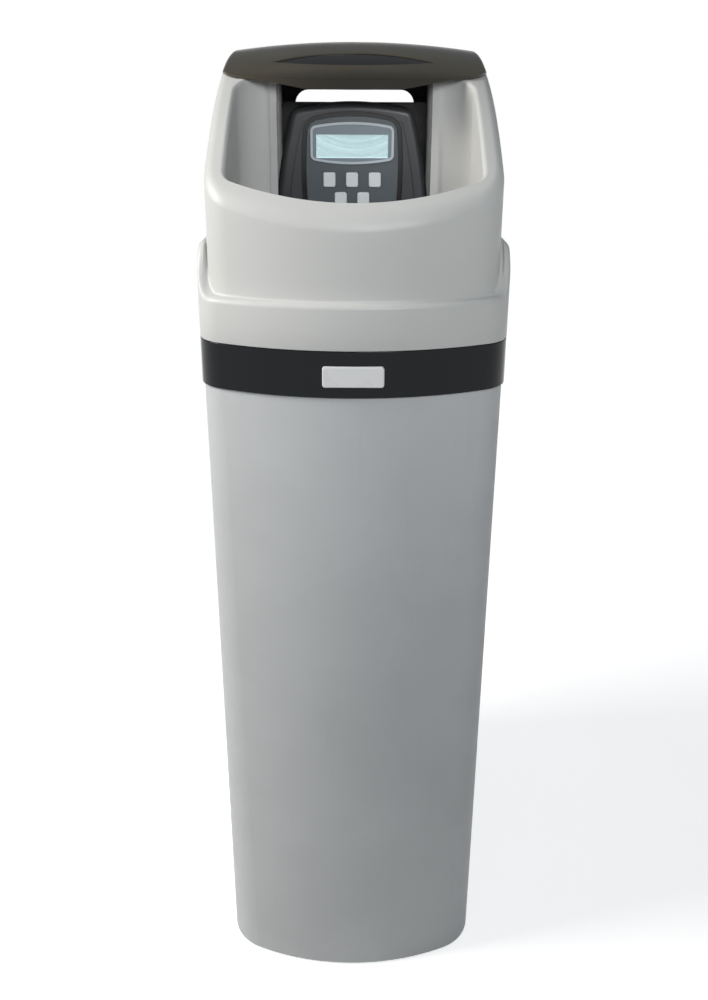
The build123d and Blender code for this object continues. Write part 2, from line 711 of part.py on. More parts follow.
# Cable grommet: the way in for the power lead, beside the pipes
with BuildPart() as cable_grommet:
    with BuildSketch(at_y(COVER_BACK)):
        with Locations((GROMMET_X, GROMMET_Z)):
            Circle(GROMMET_BORE_R + 2 * GROMMET_LIP)
    extrude(amount=-GROMMET_LIP)
    with BuildSketch(at_y(COVER_BACK)):
        with Locations((GROMMET_X, GROMMET_Z)):
            Circle(GROMMET_BORE_R + GROMMET_LIP)
    extrude(amount=COVER_WALL)
    with BuildSketch(at_y(BAY_BACK)):
        with Locations((GROMMET_X, GROMMET_Z)):
            Circle(GROMMET_BORE_R + 2 * GROMMET_LIP)
    extrude(amount=GROMMET_LIP)
    with BuildSketch(at_y(BACK + GROMMET_LIP)):
        with Locations((GROMMET_X, GROMMET_Z)):
            Circle(GROMMET_BORE_R)
    extrude(amount=REAR_CORNER_R, mode=Mode.SUBTRACT)

# Strips beside the bay opening, with a clip on each
with BuildPart() as bay_strips:
    for side in (-1, 1):
        add(under_dome(TOP_R - RIM_R - SLIDE_PLAY, *sorted((side * BAY_HALF, side * STRIP_EDGE)),
                       POCKET_BACK - STRIP_T, POCKET_BACK, SILL_Z))
with BuildPart() as strip_clips:
    with BuildSketch(at_y(POCKET_BACK - STRIP_T)):
        with Locations(*((side * (BAY_HALF + STRIP_EDGE) / 2, CLIP_Z) for side in (-1, 1))):
            RectangleRounded(CLIP_W, CLIP_H, CLIP_H / 4)
    extrude(amount=STRIP_T / 2)

# Bay shroud: dark walls beside and behind the valve
with BuildPart() as bay_shroud:
    for side in (-1, 1):
        add(slab(*sorted((side * SHROUD_HALF, side * (SHROUD_HALF + SHROUD_WALL))), BAY_FRONT,
                 BAY_BACK, SKIRT_Z + SHROUD_FOOT, ABOVE_ALL))
    add(slab(-SHROUD_HALF, SHROUD_HALF, BAY_BACK - SHROUD_WALL, BAY_BACK,
             SKIRT_Z + SHROUD_FOOT, ABOVE_ALL))
    add(dome(TOP_R - DECK_T - RUNNER_FOOT_T - 2 * RUNNER_PLAY), mode=Mode.INTERSECT)
    add(cutout(BAY_FRONT, BACK), mode=Mode.SUBTRACT)

# Rear deck: the fixed panel behind the opening, with two slots for the lid's runners
with BuildPart() as rear_deck:
    add(under_dome(TOP_R, SEAT_FIT - DECK_HALF, DECK_HALF - SEAT_FIT, DECK_FRONT,
                   DECK_BACK - SEAT_FIT, LEDGE_Z))
    add(dome(TOP_R - DECK_T), mode=Mode.SUBTRACT)
    for side in (-1, 1):
        add(slab(side * RUNNER_X - SLOT_W / 2, side * RUNNER_X + SLOT_W / 2,
                 DECK_FRONT - SLOT_W, SLOT_BACK - SEAT_FIT, LEDGE_Z, ABOVE_ALL),
            mode=Mode.SUBTRACT)



def lid_height(radius, x):
    """Height of the curved surface of this radius over the lid's bowed front edge."""
    crown = CROWN_R + radius - TOP_R
    swing = radius - crown + sqrt(crown**2 - x**2)
    y = FRONT + LID_FRONT + LID_BOW_R - sqrt(LID_BOW_R**2 - x**2)
    return AXIS_Z + sqrt(swing**2 - (AXIS_Y - y) ** 2)


def finger_recess():
    """The column over the lid's finger recess: a lens with a point at each side."""
    y = FRONT + LID_FRONT + RECESS_Y
    with BuildPart() as body:
        with BuildSketch(Plane.XY.offset(LEDGE_Z)):
            with BuildLine():
                ThreePointArc((-RECESS_HALF_W, y), (0, y - RECESS_HALF_D), (RECESS_HALF_W, y))
                ThreePointArc((RECESS_HALF_W, y), (0, y + RECESS_HALF_D), (-RECESS_HALF_W, y))
            make_face()
        extrude(amount=ABOVE_ALL - LEDGE_Z)
    return body.part


def front_lip():
    """The lip under the lid's front edge: deepest in the middle and gone at both ends."""
    low, high = LID_R - LID_T - LIP_DROP, LID_R - LID_T / 2
    with BuildPart() as body:
        with BuildSketch(at_y(FRONT + LID_FRONT - LID_GAP)):
            with BuildLine():
                Polyline((-LIP_HALF, lid_height(high, LIP_HALF)),
                         (-LIP_HALF, lid_height(LID_R - LID_T, LIP_HALF)),
                         (-LIP_FULL_HALF, lid_height(low, LIP_FULL_HALF)),
                         (-LIP_FULL_HALF, LEDGE_Z), (LIP_FULL_HALF, LEDGE_Z),
                         (LIP_FULL_HALF, lid_height(low, LIP_FULL_HALF)),
                         (LIP_HALF, lid_height(LID_R - LID_T, LIP_HALF)),
                         (LIP_HALF, lid_height(high, LIP_HALF)),
                         (LIP_HALF, ABOVE_ALL), (-LIP_HALF, ABOVE_ALL),
                         (-LIP_HALF, lid_height(high, LIP_HALF)))
            make_face()
        extrude(amount=-(LIP_HALF - LIP_FULL_HALF))
        add(prism(plan(LID, LID_T), LEDGE_Z, ABOVE_ALL), mode=Mode.SUBTRACT)
        add(dome(high), mode=Mode.INTERSECT)
        add(dome(low), mode=Mode.SUBTRACT)
    return body.part


# Sliding lid: a thin crowned shell that hugs the curved top, with a rounded edge, a lip in
# front and a shallow finger recess
with BuildPart() as sliding_lid:
    add(capped(plan(LID_BLANK), LEDGE_Z, LID_R, LID_EDGE_R))
    add(dome(LID_R - LID_T - LID_EDGE_DROP), mode=Mode.SUBTRACT)
    add(under_dome(LID_R - LID_T, LID_T - LID_HALF, LID_HALF - LID_T, FRONT, BACK, LEDGE_Z),
        mode=Mode.SUBTRACT)
    add(front_lip())
    add(prism(plan(LID), LEDGE_Z, ABOVE_ALL), mode=Mode.INTERSECT)
    add(above_dome(finger_recess(), LID_R - RECESS_DEPTH), mode=Mode.SUBTRACT)


def layer(outer, inner, x, width, y, length):
    """A block between two of the curved surfaces."""
    with BuildPart() as body:
        add(under_dome(outer, x - width / 2, x + width / 2, y - length / 2, y + length / 2,
                       LEDGE_Z))
        add(dome(inner), mode=Mode.SUBTRACT)
    return body.part


# Lid runners: T-shaped feet in the deck's slots, and glide pads on the rim
with BuildPart() as lid_runners:
    for side in (-1, 1):
        add(layer(LID_R - LID_T, TOP_R - DECK_T - RUNNER_PLAY, side * RUNNER_X,
                  SLOT_W - 2 * RUNNER_PLAY, RUNNER_Y, 2 * RUNNER_HALF_LENGTH))
        add(layer(TOP_R - DECK_T - RUNNER_PLAY, TOP_R - DECK_T - RUNNER_PLAY - RUNNER_FOOT_T,
                  side * RUNNER_X, RUNNER_FOOT_W, RUNNER_Y, 2 * RUNNER_HALF_LENGTH))
        add(layer(LID_R - LID_T, TOP_R + SEAT_FIT, side * PAD_X, PAD_W, PAD_Y, PAD_L))


# Resin tank and what it holds, all turned about the tank's axis
TANK_AXIS = Axis((VALVE_X, TANK_Y, 0), (0, 0, 1))


def tank_half(inset, bottom=TANK_Z, top=TANK_TOP):
    """The right half of a domed vessel, cut off at the heights given."""
    with BuildSketch() as drawn:
        radius = TANK_R - inset
        rise = TANK_DOME - inset
        with Locations((0, (TANK_Z + TANK_TOP) / 2)):
            Rectangle(2 * radius, TANK_TOP - TANK_Z - 2 * TANK_DOME)
        with Locations((0, TANK_Z + TANK_DOME), (0, TANK_TOP - TANK_DOME)):
            Ellipse(radius, rise)
        with Locations((TANK_R / 2, (bottom + top) / 2)):
            Rectangle(TANK_R, top - bottom, mode=Mode.INTERSECT)
    return drawn.sketch


def tank_plane():
    """The upright plane through the tank's axis: x is the distance from it, y is Z."""
    return Plane(origin=(VALVE_X, TANK_Y, 0), x_dir=(1, 0, 0), z_dir=(0, -1, 0))


def band_of(inner, outer, bottom, top):
    """A ring's section on the tank plane."""
    with BuildSketch() as drawn:
        with Locations(((inner + outer) / 2, (bottom + top) / 2)):
            Rectangle(outer - inner, top - bottom)
    return drawn.sketch


with BuildPart() as resin_tank:
    with BuildSketch(tank_plane()):
        add(tank_half(0))
        add(band_of(0, NECK_R, TANK_TOP - TANK_WALL, NECK_TOP))
        add(tank_half(TANK_WALL), mode=Mode.SUBTRACT)
        add(band_of(0, NECK_BORE_R, TANK_TOP - TANK_DOME, NECK_TOP), mode=Mode.SUBTRACT)
    revolve(axis=TANK_AXIS)

with BuildPart() as tank_boot:
    with BuildSketch(tank_plane()):
        add(band_of(0, TANK_R + BOOT_WALL, FLOOR_T, FLOOR_T + BOOT_H))
        add(tank_half(0), mode=Mode.SUBTRACT)
        add(band_of(0, TANK_R + RUNNING_FIT, TANK_Z + TANK_DOME, FLOOR_T + BOOT_H),
            mode=Mode.SUBTRACT)
    revolve(axis=TANK_AXIS)
    fillet(tank_boot.faces().sort_by(Axis.Z)[-1].edges().sort_by(SortBy.LENGTH)[-1],
           BOOT_WALL / 3)

with BuildPart() as riser_tube:
    with BuildSketch(tank_plane()):
        add(band_of(RISER_R - RISER_WALL, RISER_R, TANK_Z + BASKET_H, RISER_TOP))
    revolve(axis=TANK_AXIS)

with BuildPart() as bottom_basket:
    with BuildSketch(tank_plane()):
        add(band_of(0, BASKET_R, TANK_Z + TANK_WALL + BASKET_SEAT, TANK_Z + BASKET_H))
        add(band_of(BASKET_R - BASKET_RIM, BASKET_R, TANK_Z, TANK_Z + 2 * BASKET_RIM),
            mode=Mode.SUBTRACT)
        add(band_of(0, RISER_R - RISER_WALL, TANK_Z + BASKET_H / 2, TANK_Z + BASKET_H),
            mode=Mode.SUBTRACT)
    revolve(axis=TANK_AXIS)
    with BuildSketch(Plane.XY.offset(TANK_Z + BASKET_H - BASKET_SLIT_DROP)):
        with Locations((VALVE_X, TANK_Y)):
            with PolarLocations(BASKET_R, BASKET_SLITS):
                Rectangle(BASKET_R / 2, BASKET_SLIT_W)
    extrude(amount=-BASKET_SLIT_H, mode=Mode.SUBTRACT)

with BuildPart() as top_basket:
    with BuildSketch(tank_plane()):
        add(band_of(RISER_R + RUNNING_FIT, BASKET_R, NECK_TOP - SPIGOT_DEPTH - BASKET_H,
                    NECK_TOP - SPIGOT_DEPTH))
    revolve(axis=TANK_AXIS)
    with BuildSketch(Plane.XY.offset(NECK_TOP - SPIGOT_DEPTH - 2 * BASKET_SLIT_DROP)):
        with Locations((VALVE_X, TANK_Y)):
            with PolarLocations(BASKET_R, BASKET_SLITS):
                Rectangle(BASKET_R / 2, BASKET_SLIT_W)
    extrude(amount=-2 * BASKET_SLIT_H, mode=Mode.SUBTRACT)

with BuildPart() as gravel_bed:
    with BuildSketch(tank_plane()):
        add(tank_half(TANK_WALL + SEAT_FIT, TANK_Z, TANK_Z + GRAVEL_H))
        add(band_of(0, BASKET_R + SEAT_FIT, TANK_Z, TANK_Z + BASKET_H + SEAT_FIT),
            mode=Mode.SUBTRACT)
        add(band_of(0, RISER_R + SEAT_FIT, TANK_Z, TANK_Z + GRAVEL_H), mode=Mode.SUBTRACT)
    revolve(axis=TANK_AXIS)

with BuildPart() as resin_bed:
    with BuildSketch(tank_plane()):
        add(tank_half(TANK_WALL + SEAT_FIT, TANK_Z + GRAVEL_H, TANK_Z + GRAVEL_H + RESIN_H))
        add(band_of(0, RISER_R + SEAT_FIT, TANK_Z, TANK_TOP), mode=Mode.SUBTRACT)
    revolve(axis=TANK_AXIS)

# Salt grid: a perforated plate on four legs, in front of the tank and round the brine well
with BuildPart() as salt_grid:
    with BuildSketch(Plane.XY.offset(GRID_Z)) as grid_plan:
        add(plan(BODY_BASE, SHELL_WALL + GRID_GAP))
        with Locations((0, GRID_BACK + DEPTH / 2)):
            Rectangle(WIDTH, DEPTH, mode=Mode.SUBTRACT)
        with Locations((VALVE_X, TANK_Y)):
            Circle(TANK_R + BOOT_WALL + GRID_GAP, mode=Mode.SUBTRACT)
        with Locations((WELL_X, WELL_Y)):
            Circle(WELL_R + SEAT_FIT, mode=Mode.SUBTRACT)
        plate = grid_plan.sketch
        spots = [p for p in GridLocations(GRID_PITCH, GRID_PITCH, GRID_COLUMNS, GRID_ROWS)]
        centres = [(p.position.X, p.position.Y + GRID_MIDDLE_Y) for p in spots]
        kept = [c for c in centres if clear_of_edges(c)]
        with Locations(*kept):
            Circle(GRID_HOLE_R, mode=Mode.SUBTRACT)
    extrude(amount=GRID_T)
    with BuildSketch(Plane.XY.offset(FLOOR_T)):
        with Locations(*GRID_LEGS):
            Circle(GRID_LEG_R)
            Circle(GRID_LEG_R - GRID_T / 2, mode=Mode.SUBTRACT)
    extrude(amount=GRID_Z - FLOOR_T)

# Brine well: an upright tube with slots below the grid and a hole for the brine line
WELL_AXIS_PLANE = Plane(origin=(WELL_X, WELL_Y, 0), x_dir=(1, 0, 0), z_dir=(0, -1, 0))
with BuildPart() as brine_well:
    with BuildSketch(Plane.XY.offset(FLOOR_T)):
        with Locations((WELL_X, WELL_Y)):
            Circle(WELL_R)
            Circle(WELL_R - WELL_WALL, mode=Mode.SUBTRACT)
    extrude(amount=WELL_TOP - FLOOR_T)
    with BuildSketch(Plane.XY.offset(FLOOR_T + WELL_SLOT_W)):
        with Locations((WELL_X, WELL_Y)):
            with PolarLocations(WELL_R, WELL_SLOTS):
                Rectangle(4 * WELL_WALL, WELL_SLOT_W)
    extrude(amount=WELL_SLOT_H, mode=Mode.SUBTRACT)
    with BuildSketch(WELL_AXIS_PLANE):
        with Locations((0, LINE_Z)):
            Circle(BARB_R + SEAT_FIT)
    extrude(amount=-2 * WELL_R, mode=Mode.SUBTRACT)

with BuildPart() as brine_well_cap:
    with BuildSketch(Plane.XY.offset(WELL_TOP - WELL_CAP_H)):
        with Locations((WELL_X, WELL_Y)):
            Circle(WELL_R + SEAT_FIT + WELL_WALL)
    extrude(amount=WELL_CAP_H + WELL_WALL)
    fillet(brine_well_cap.faces().sort_by(Axis.Z)[-1].edges(), WELL_WALL / 2)
    with BuildSketch(Plane.XY.offset(WELL_TOP - WELL_CAP_H)):
        with Locations((WELL_X, WELL_Y)):
            Circle(WELL_R + SEAT_FIT)
    extrude(amount=WELL_CAP_H, mode=Mode.SUBTRACT)
    with BuildSketch(Plane.XY.offset(WELL_TOP + WELL_WALL)):
        with Locations((WELL_X, WELL_Y)):
            SlotOverall(WELL_R, WELL_CAP_H)
    extrude(amount=WELL_CAP_H)
    fillet(brine_well_cap.faces().sort_by(Axis.Z)[-1].edges(), WELL_WALL / 2)

# Float valve: body with its spigot through the well wall, and the pickup tube below it
ROD_X = (PICKUP_R + FLOAT_BODY_R) / 2
with BuildPart() as float_valve:
    with BuildSketch(Plane.XY.offset(FLOAT_BODY_TOP - FLOAT_BODY_H)):
        with Locations((WELL_X, WELL_Y)):
            Circle(FLOAT_BODY_R)
    extrude(amount=FLOAT_BODY_H)
    fillet(float_valve.faces().sort_by(Axis.Z)[-1].edges(), FLOAT_ROD_R)
    with BuildSketch(WELL_AXIS_PLANE):
        with Locations((0, LINE_Z)):
            Circle(BARB_R)
    extrude(amount=WELL_Y - LINE_START_Y)
    with BuildSketch(Plane.XY.offset(FLOOR_T + AIR_CHECK_H)):
        with Locations((WELL_X, WELL_Y)):
            Circle(PICKUP_R)
    extrude(amount=FLOAT_BODY_TOP - FLOAT_BODY_H - FLOOR_T - AIR_CHECK_H)
    with BuildSketch(Plane.XY.offset(FLOAT_STOP_Z)):
        with Locations((WELL_X, WELL_Y)):
            Circle(PICKUP_R + FLOAT_ROD_R)
    extrude(amount=-FLOAT_ROD_R)
    with BuildSketch(Plane.XY.offset(FLOOR_T + AIR_CHECK_H)):
        with Locations((WELL_X, WELL_Y)):
            Circle(PICKUP_R - FLOAT_ROD_R)
    extrude(amount=LINE_Z - FLOOR_T - AIR_CHECK_H, mode=Mode.SUBTRACT)
    with BuildSketch(WELL_AXIS_PLANE):
        with Locations((0, LINE_Z)):
            Circle(PICKUP_R - FLOAT_ROD_R)
    extrude(amount=WELL_Y - LINE_START_Y, mode=Mode.SUBTRACT)
    with BuildSketch(Plane.XY.offset(FLOAT_BODY_TOP - FLOAT_BODY_H)):
        with Locations((WELL_X + ROD_X, WELL_Y)):
            Circle(FLOAT_ROD_R + SEAT_FIT)
    extrude(amount=ROD_GRIP + FLOAT_TRAVEL + SLIDE_PLAY, mode=Mode.SUBTRACT)

with BuildPart() as brine_float:
    with BuildSketch(Plane.XY.offset(FLOAT_STOP_Z)):
        with Locations((WELL_X, WELL_Y)):
            Circle(FLOAT_R)
    extrude(amount=FLOAT_H)
    fillet(brine_float.edges(), FLOAT_ROD_R)
    with BuildSketch(Plane.XY.offset(FLOAT_STOP_Z)):
        with Locations((WELL_X, WELL_Y)):
            Circle(PICKUP_R + SLIDE_PLAY)
    extrude(amount=FLOAT_H, mode=Mode.SUBTRACT)
    with BuildSketch(Plane.XY.offset(FLOAT_STOP_Z + FLOAT_H / 2)):
        with Locations((WELL_X + ROD_X, WELL_Y)):
            Circle(FLOAT_ROD_R)
    extrude(amount=FLOAT_BODY_TOP - FLOAT_BODY_H + ROD_GRIP - FLOAT_STOP_Z - FLOAT_H / 2)

with BuildPart() as air_check:
    with BuildSketch(Plane.XY.offset(FLOOR_T)):
        with Locations((WELL_X, WELL_Y)):
            Circle(AIR_CHECK_R)
    extrude(amount=AIR_CHECK_H)
    fillet(air_check.faces().sort_by(Axis.Z)[-1].edges(), FLOAT_ROD_R)
    with BuildSketch(Plane.XY.offset(FLOOR_T + AIR_CHECK_R / 2)):
        with Locations((WELL_X, WELL_Y)):
            with PolarLocations(AIR_CHECK_R, 2 * WELL_SLOTS):
                Rectangle(AIR_CHECK_R / 2, AIR_CHECK_R / 5)
    extrude(amount=AIR_CHECK_H / 2, mode=Mode.SUBTRACT)

# Brine line: from the float valve's spigot, up past the tank's shoulder, to the valve
line_points = [(WELL_X, LINE_START_Y, LINE_Z), (WELL_X, LINE_START_Y + LINE_RUN, LINE_Z),
               (LINE_SIDE_X, TANK_Y - LINE_SIDE_BACK, TANK_TOP - LINE_SIDE_DROP),
               (LINE_SIDE_X - LINE_R, TANK_Y, BRINE_PORT_Z), (BRINE_BARB_X, TANK_Y, BRINE_PORT_Z)]
line_radii = [LINE_BEND_R] * (len(line_points) - 2)
with BuildPart() as brine_line:
    with BuildLine() as line_path:
        FilletPolyline(*line_points, radius=line_radii)
    with BuildSketch(Plane(origin=line_points[0], x_dir=(1, 0, 0), z_dir=(0, 1, 0))):
        Circle(LINE_R)
        Circle(LINE_R - LINE_WALL, mode=Mode.SUBTRACT)
    sweep()
line_length = sum(e.length for e in line_path.edges())
ring_area = pi * (LINE_R**2 - (LINE_R - LINE_WALL) ** 2)
print("brine line radii", line_radii, "length", round(line_length, 1),
      "volume ratio", round(brine_line.part.volume / (ring_area * line_length), 4))

# Overflow elbow in the back wall, and its nut inside
OVERFLOW_Y = SHELL_BACK + OVERFLOW_REACH
OVERFLOW_START = SHELL_BACK - SHELL_WALL - NUT_T - OVERFLOW_END
with BuildPart() as overflow_elbow:
    with BuildLine():
        FilletPolyline((OVERFLOW_X, OVERFLOW_START, OVERFLOW_Z),
                       (OVERFLOW_X, OVERFLOW_Y, OVERFLOW_Z),
                       (OVERFLOW_X, OVERFLOW_Y, OVERFLOW_Z - OVERFLOW_DROP),
                       radius=OVERFLOW_BEND_R)
    with BuildSketch(Plane(origin=(OVERFLOW_X, OVERFLOW_START, OVERFLOW_Z), x_dir=(1, 0, 0),
                           z_dir=(0, 1, 0))):
        Circle(OVERFLOW_R)
        Circle(OVERFLOW_BORE_R, mode=Mode.SUBTRACT)
    sweep()
    with BuildSketch(at_y(SHELL_BACK)):
        with Locations((OVERFLOW_X, OVERFLOW_Z)):
            Circle(OVERFLOW_FLANGE_R)
            Circle((OVERFLOW_R + OVERFLOW_BORE_R) / 2, mode=Mode.SUBTRACT)
    extrude(amount=-OVERFLOW_END)

with BuildPart() as overflow_nut:
    with BuildSketch(at_y(SHELL_BACK - SHELL_WALL)):
        with Locations((OVERFLOW_X, OVERFLOW_Z)):
            RegularPolygon(NUT_AF / 2, 6, major_radius=False)
            Circle(OVERFLOW_R, mode=Mode.SUBTRACT)
    extrude(amount=NUT_T)


def valve_plane(y):
    """A plane across the valve at y, measured from the piston's axis."""
    return Plane(origin=(VALVE_X, y, VALVE_Z), x_dir=(1, 0, 0), z_dir=(0, -1, 0))


def rod(spots, radius, start, length, mode=Mode.ADD):
    """Round bars along Y from the plane at start towards the back, for the open part."""
    with BuildSketch(valve_plane(start)) as ends:
        with Locations(*spots):
            Circle(radius)
    extrude(ends.sketch, amount=-length, mode=mode)


# Valve body: piston housing, tank adapter, two ports, and bosses for its fittings
with BuildPart() as valve_body:
    rod([(0, 0)], VALVE_R, BODY_Y, BODY_LENGTH)
    rod([(0, 0)], FLANGE_R, BODY_Y, FLANGE_T)
    rod([(-PORT_X, 0), (PORT_X, 0)], PORT_R, PORT_END - PORT_LENGTH, PORT_LENGTH)
    with BuildSketch(Plane.XY.offset(NECK_TOP)):
        with Locations((VALVE_X, TANK_Y)):
            Circle(ADAPTER_R)
    extrude(amount=ADAPTER_H)
    fillet(valve_body.faces().sort_by(Axis.Z)[0].edges(), FLANGE_T / 4)
    with BuildSketch(Plane.XY.offset(NECK_TOP)):
        with Locations((VALVE_X, TANK_Y)):
            Circle(NECK_BORE_R - RUNNING_FIT)
    extrude(amount=-SPIGOT_DEPTH)
    with BuildSketch(Plane.XY.offset(VALVE_Z)):
        with Locations((VALVE_X, DRAIN_Y)):
            Circle(DRAIN_BOSS_R)
    extrude(amount=DRAIN_BOSS_RISE)
    with BuildSketch(Plane.YZ.offset(VALVE_X - VALVE_R - INJECTOR_BOSS)):
        with Locations((BODY_Y + INJECTOR_Y, VALVE_Z)):
            Circle(INJECTOR_R)
    extrude(amount=VALVE_R)
    with BuildSketch(Plane.YZ.offset(VALVE_X)):
        with Locations((TANK_Y, BRINE_PORT_Z)):
            Circle(BRINE_BOSS_R)
    extrude(amount=ADAPTER_R + BRINE_BOSS_REACH)
    rod([(0, 0)], BORE_R, BODY_Y, BODY_LENGTH - BORE_END_WALL, Mode.SUBTRACT)
    rod([(-PORT_X, 0), (PORT_X, 0)], PORT_BORE_R, PORT_END - PORT_LENGTH + PASSAGE_R,
        PORT_LENGTH, Mode.SUBTRACT)
    with BuildSketch(Plane.XY.offset(NECK_TOP - SPIGOT_DEPTH)):
        with Locations((VALVE_X, TANK_Y)):
            Circle(RISER_R + RUNNING_FIT)
    extrude(amount=SPIGOT_DEPTH + VALVE_RISE - VALVE_R, mode=Mode.SUBTRACT)
    with BuildSketch(Plane.YZ.offset(VALVE_X - PORT_X)):
        with Locations((PORT_END - PORT_LENGTH + 3 * PASSAGE_R, VALVE_Z)):
            Circle(PASSAGE_R)
    extrude(amount=2 * PORT_X, mode=Mode.SUBTRACT)
    rod(BOLT_SPOTS, BOLT_R, BODY_Y, FLANGE_T, Mode.SUBTRACT)

with BuildPart() as seal_stack:
    rod([(0, 0)], BORE_R, BODY_Y, SEAL_LENGTH)
    rod([(0, 0)], SPOOL_R + RUNNING_FIT, BODY_Y, SEAL_LENGTH, Mode.SUBTRACT)
    for step in range(SEAL_GROOVES):
        rod([(0, 0)], (BORE_R + SPOOL_R) / 2,
            BODY_Y + (step + 0.5) * SEAL_LENGTH / SEAL_GROOVES - SEAL_GROOVE_W / 2,
            SEAL_GROOVE_W, Mode.SUBTRACT)

# Piston: three lands on a stem, and the rod that the main gear drives
with BuildPart() as piston:
    rod([(0, 0)], STEM_R, BODY_Y + SPOOL_START, SPOOL_LENGTH)
    for share in (0, 0.5, 1):
        rod([(0, 0)], SPOOL_R, BODY_Y + SPOOL_START + share * (SPOOL_LENGTH - LAND_LENGTH),
            LAND_LENGTH)
    rod([(0, 0)], ROD_R, ROD_FRONT, BODY_Y + SPOOL_START - ROD_FRONT)
    chamfer(piston.faces().sort_by(Axis.Y)[0].edges(), ROD_R / 5)

with BuildPart() as injector_cap:
    with BuildSketch(Plane.YZ.offset(VALVE_X - VALVE_R - INJECTOR_BOSS)):
        with Locations((BODY_Y + INJECTOR_Y, VALVE_Z)):
            RegularPolygon(INJECTOR_R, 8, major_radius=False)
    extrude(amount=-INJECTOR_CAP_L)
    fillet(injector_cap.faces().sort_by(Axis.X)[0].edges(), INJECTOR_CAP_L / 8)

with BuildPart() as brine_elbow:
    with BuildSketch(Plane.YZ.offset(VALVE_X + ADAPTER_R + BRINE_BOSS_REACH)):
        with Locations((TANK_Y, BRINE_PORT_Z)):
            Circle(BARB_R)
            Circle(BARB_R / 2, mode=Mode.SUBTRACT)
    extrude(amount=BRINE_BARB_REACH)

with BuildPart() as drain_elbow:
    with BuildSketch(Plane.XY.offset(VALVE_Z + DRAIN_BOSS_RISE)):
        with Locations((VALVE_X, DRAIN_Y)):
            Circle(DRAIN_R)
    extrude(amount=DRAIN_LEG_H)
    fillet(drain_elbow.faces().sort_by(Axis.Z)[-1].edges(), DRAIN_R / 3)
    rod([(0, DRAIN_BARB_RISE)], DRAIN_COLLAR_R, DRAIN_Y, DRAIN_R + DRAIN_COLLAR)
    rod([(0, DRAIN_BARB_RISE)], DRAIN_BARB_R, DRAIN_Y, DRAIN_BARB_REACH)
    rod([(0, DRAIN_BARB_RISE)], DRAIN_BORE_R, DRAIN_Y, DRAIN_BARB_REACH, Mode.SUBTRACT)

# Meter turbine: blades on a hub, turning freely in the outlet port
with BuildPart() as meter_turbine:
    rod([(PORT_X, 0)], TURBINE_HUB_R, TURBINE_Y, TURBINE_LENGTH)
    with BuildSketch(valve_plane(TURBINE_Y)):
        with Locations((PORT_X, 0)):
            with PolarLocations(TURBINE_R / 2, BLADES):
                Rectangle(TURBINE_R, BLADE_T)
    extrude(amount=-TURBINE_LENGTH)

# Bypass valve: a plug in each line, and a bridge between them
with BuildPart() as bypass_body:
    rod([(-PORT_X, 0), (PORT_X, 0)], PORT_R, PORT_END, BYPASS_LENGTH)
    with BuildSketch(Plane.XY.offset(VALVE_Z - PLUG_HALF_H)):
        with Locations((VALVE_X - PORT_X, PLUG_Y), (VALVE_X + PORT_X, PLUG_Y)):
            Circle(PLUG_CASE_R)
    extrude(amount=2 * PLUG_HALF_H)
    add(slab(VALVE_X - PORT_X, VALVE_X + PORT_X, PLUG_Y - BRIDGE_HALF_D, PLUG_Y + BRIDGE_HALF_D,
             VALVE_Z - BRIDGE_HALF_H, VALVE_Z + BRIDGE_HALF_H))
    rod([(-PORT_X, 0), (PORT_X, 0)], PORT_BORE_R, PORT_END, BYPASS_LENGTH, Mode.SUBTRACT)
    with BuildSketch(Plane.XY.offset(PLUG_FLOOR_Z)):
        with Locations((VALVE_X - PORT_X, PLUG_Y), (VALVE_X + PORT_X, PLUG_Y)):
            Circle(ROTOR_R + RUNNING_FIT)
    extrude(amount=2 * PLUG_HALF_H, mode=Mode.SUBTRACT)


def bypass_handle(side):
    """A plug with its bore and the arm on top, pointing to the back."""
    x = VALVE_X + side * PORT_X
    top = VALVE_Z + PLUG_HALF_H + HANDLE_GAP
    with BuildPart() as handle:
        with BuildSketch(Plane.XY.offset(PLUG_FLOOR_Z)):
            with Locations((x, PLUG_Y)):
                Circle(ROTOR_R)
        extrude(amount=top - PLUG_FLOOR_Z)
        rod([(side * PORT_X, 0)], TAIL_BORE_R, PLUG_Y - ROTOR_R, 2 * ROTOR_R, Mode.SUBTRACT)
        with BuildSketch(Plane.XY.offset(top)):
            with Locations((x, PLUG_Y)):
                Circle(HUB_R)
            with Locations((x, PLUG_Y + HANDLE_L / 2)):
                SlotOverall(HANDLE_L + HANDLE_W, HANDLE_W, rotation=90)
        extrude(amount=HANDLE_T)
        fillet(handle.faces().sort_by(Axis.Z)[-1].edges(), HANDLE_T / 5)
    return handle


bypass_handle_inlet = bypass_handle(-1)
bypass_handle_outlet = bypass_handle(1)

with BuildPart() as pipe_tails:
    rod([(-PORT_X, 0), (PORT_X, 0)], TAIL_R, BYPASS_END, COVER_BACK - TAIL_END_GAP - BYPASS_END)
    rod([(-PORT_X, 0), (PORT_X, 0)], TAIL_R + TAIL_SHOULDER, BYPASS_END, UNION_T - UNION_GRIP)
    rod([(-PORT_X, 0), (PORT_X, 0)], PORT_R, BYPASS_END, TAIL_FLANGE_T)
    rod([(-PORT_X, 0), (PORT_X, 0)], TAIL_BORE_R, BYPASS_END,
        COVER_BACK - TAIL_END_GAP - BYPASS_END, Mode.SUBTRACT)

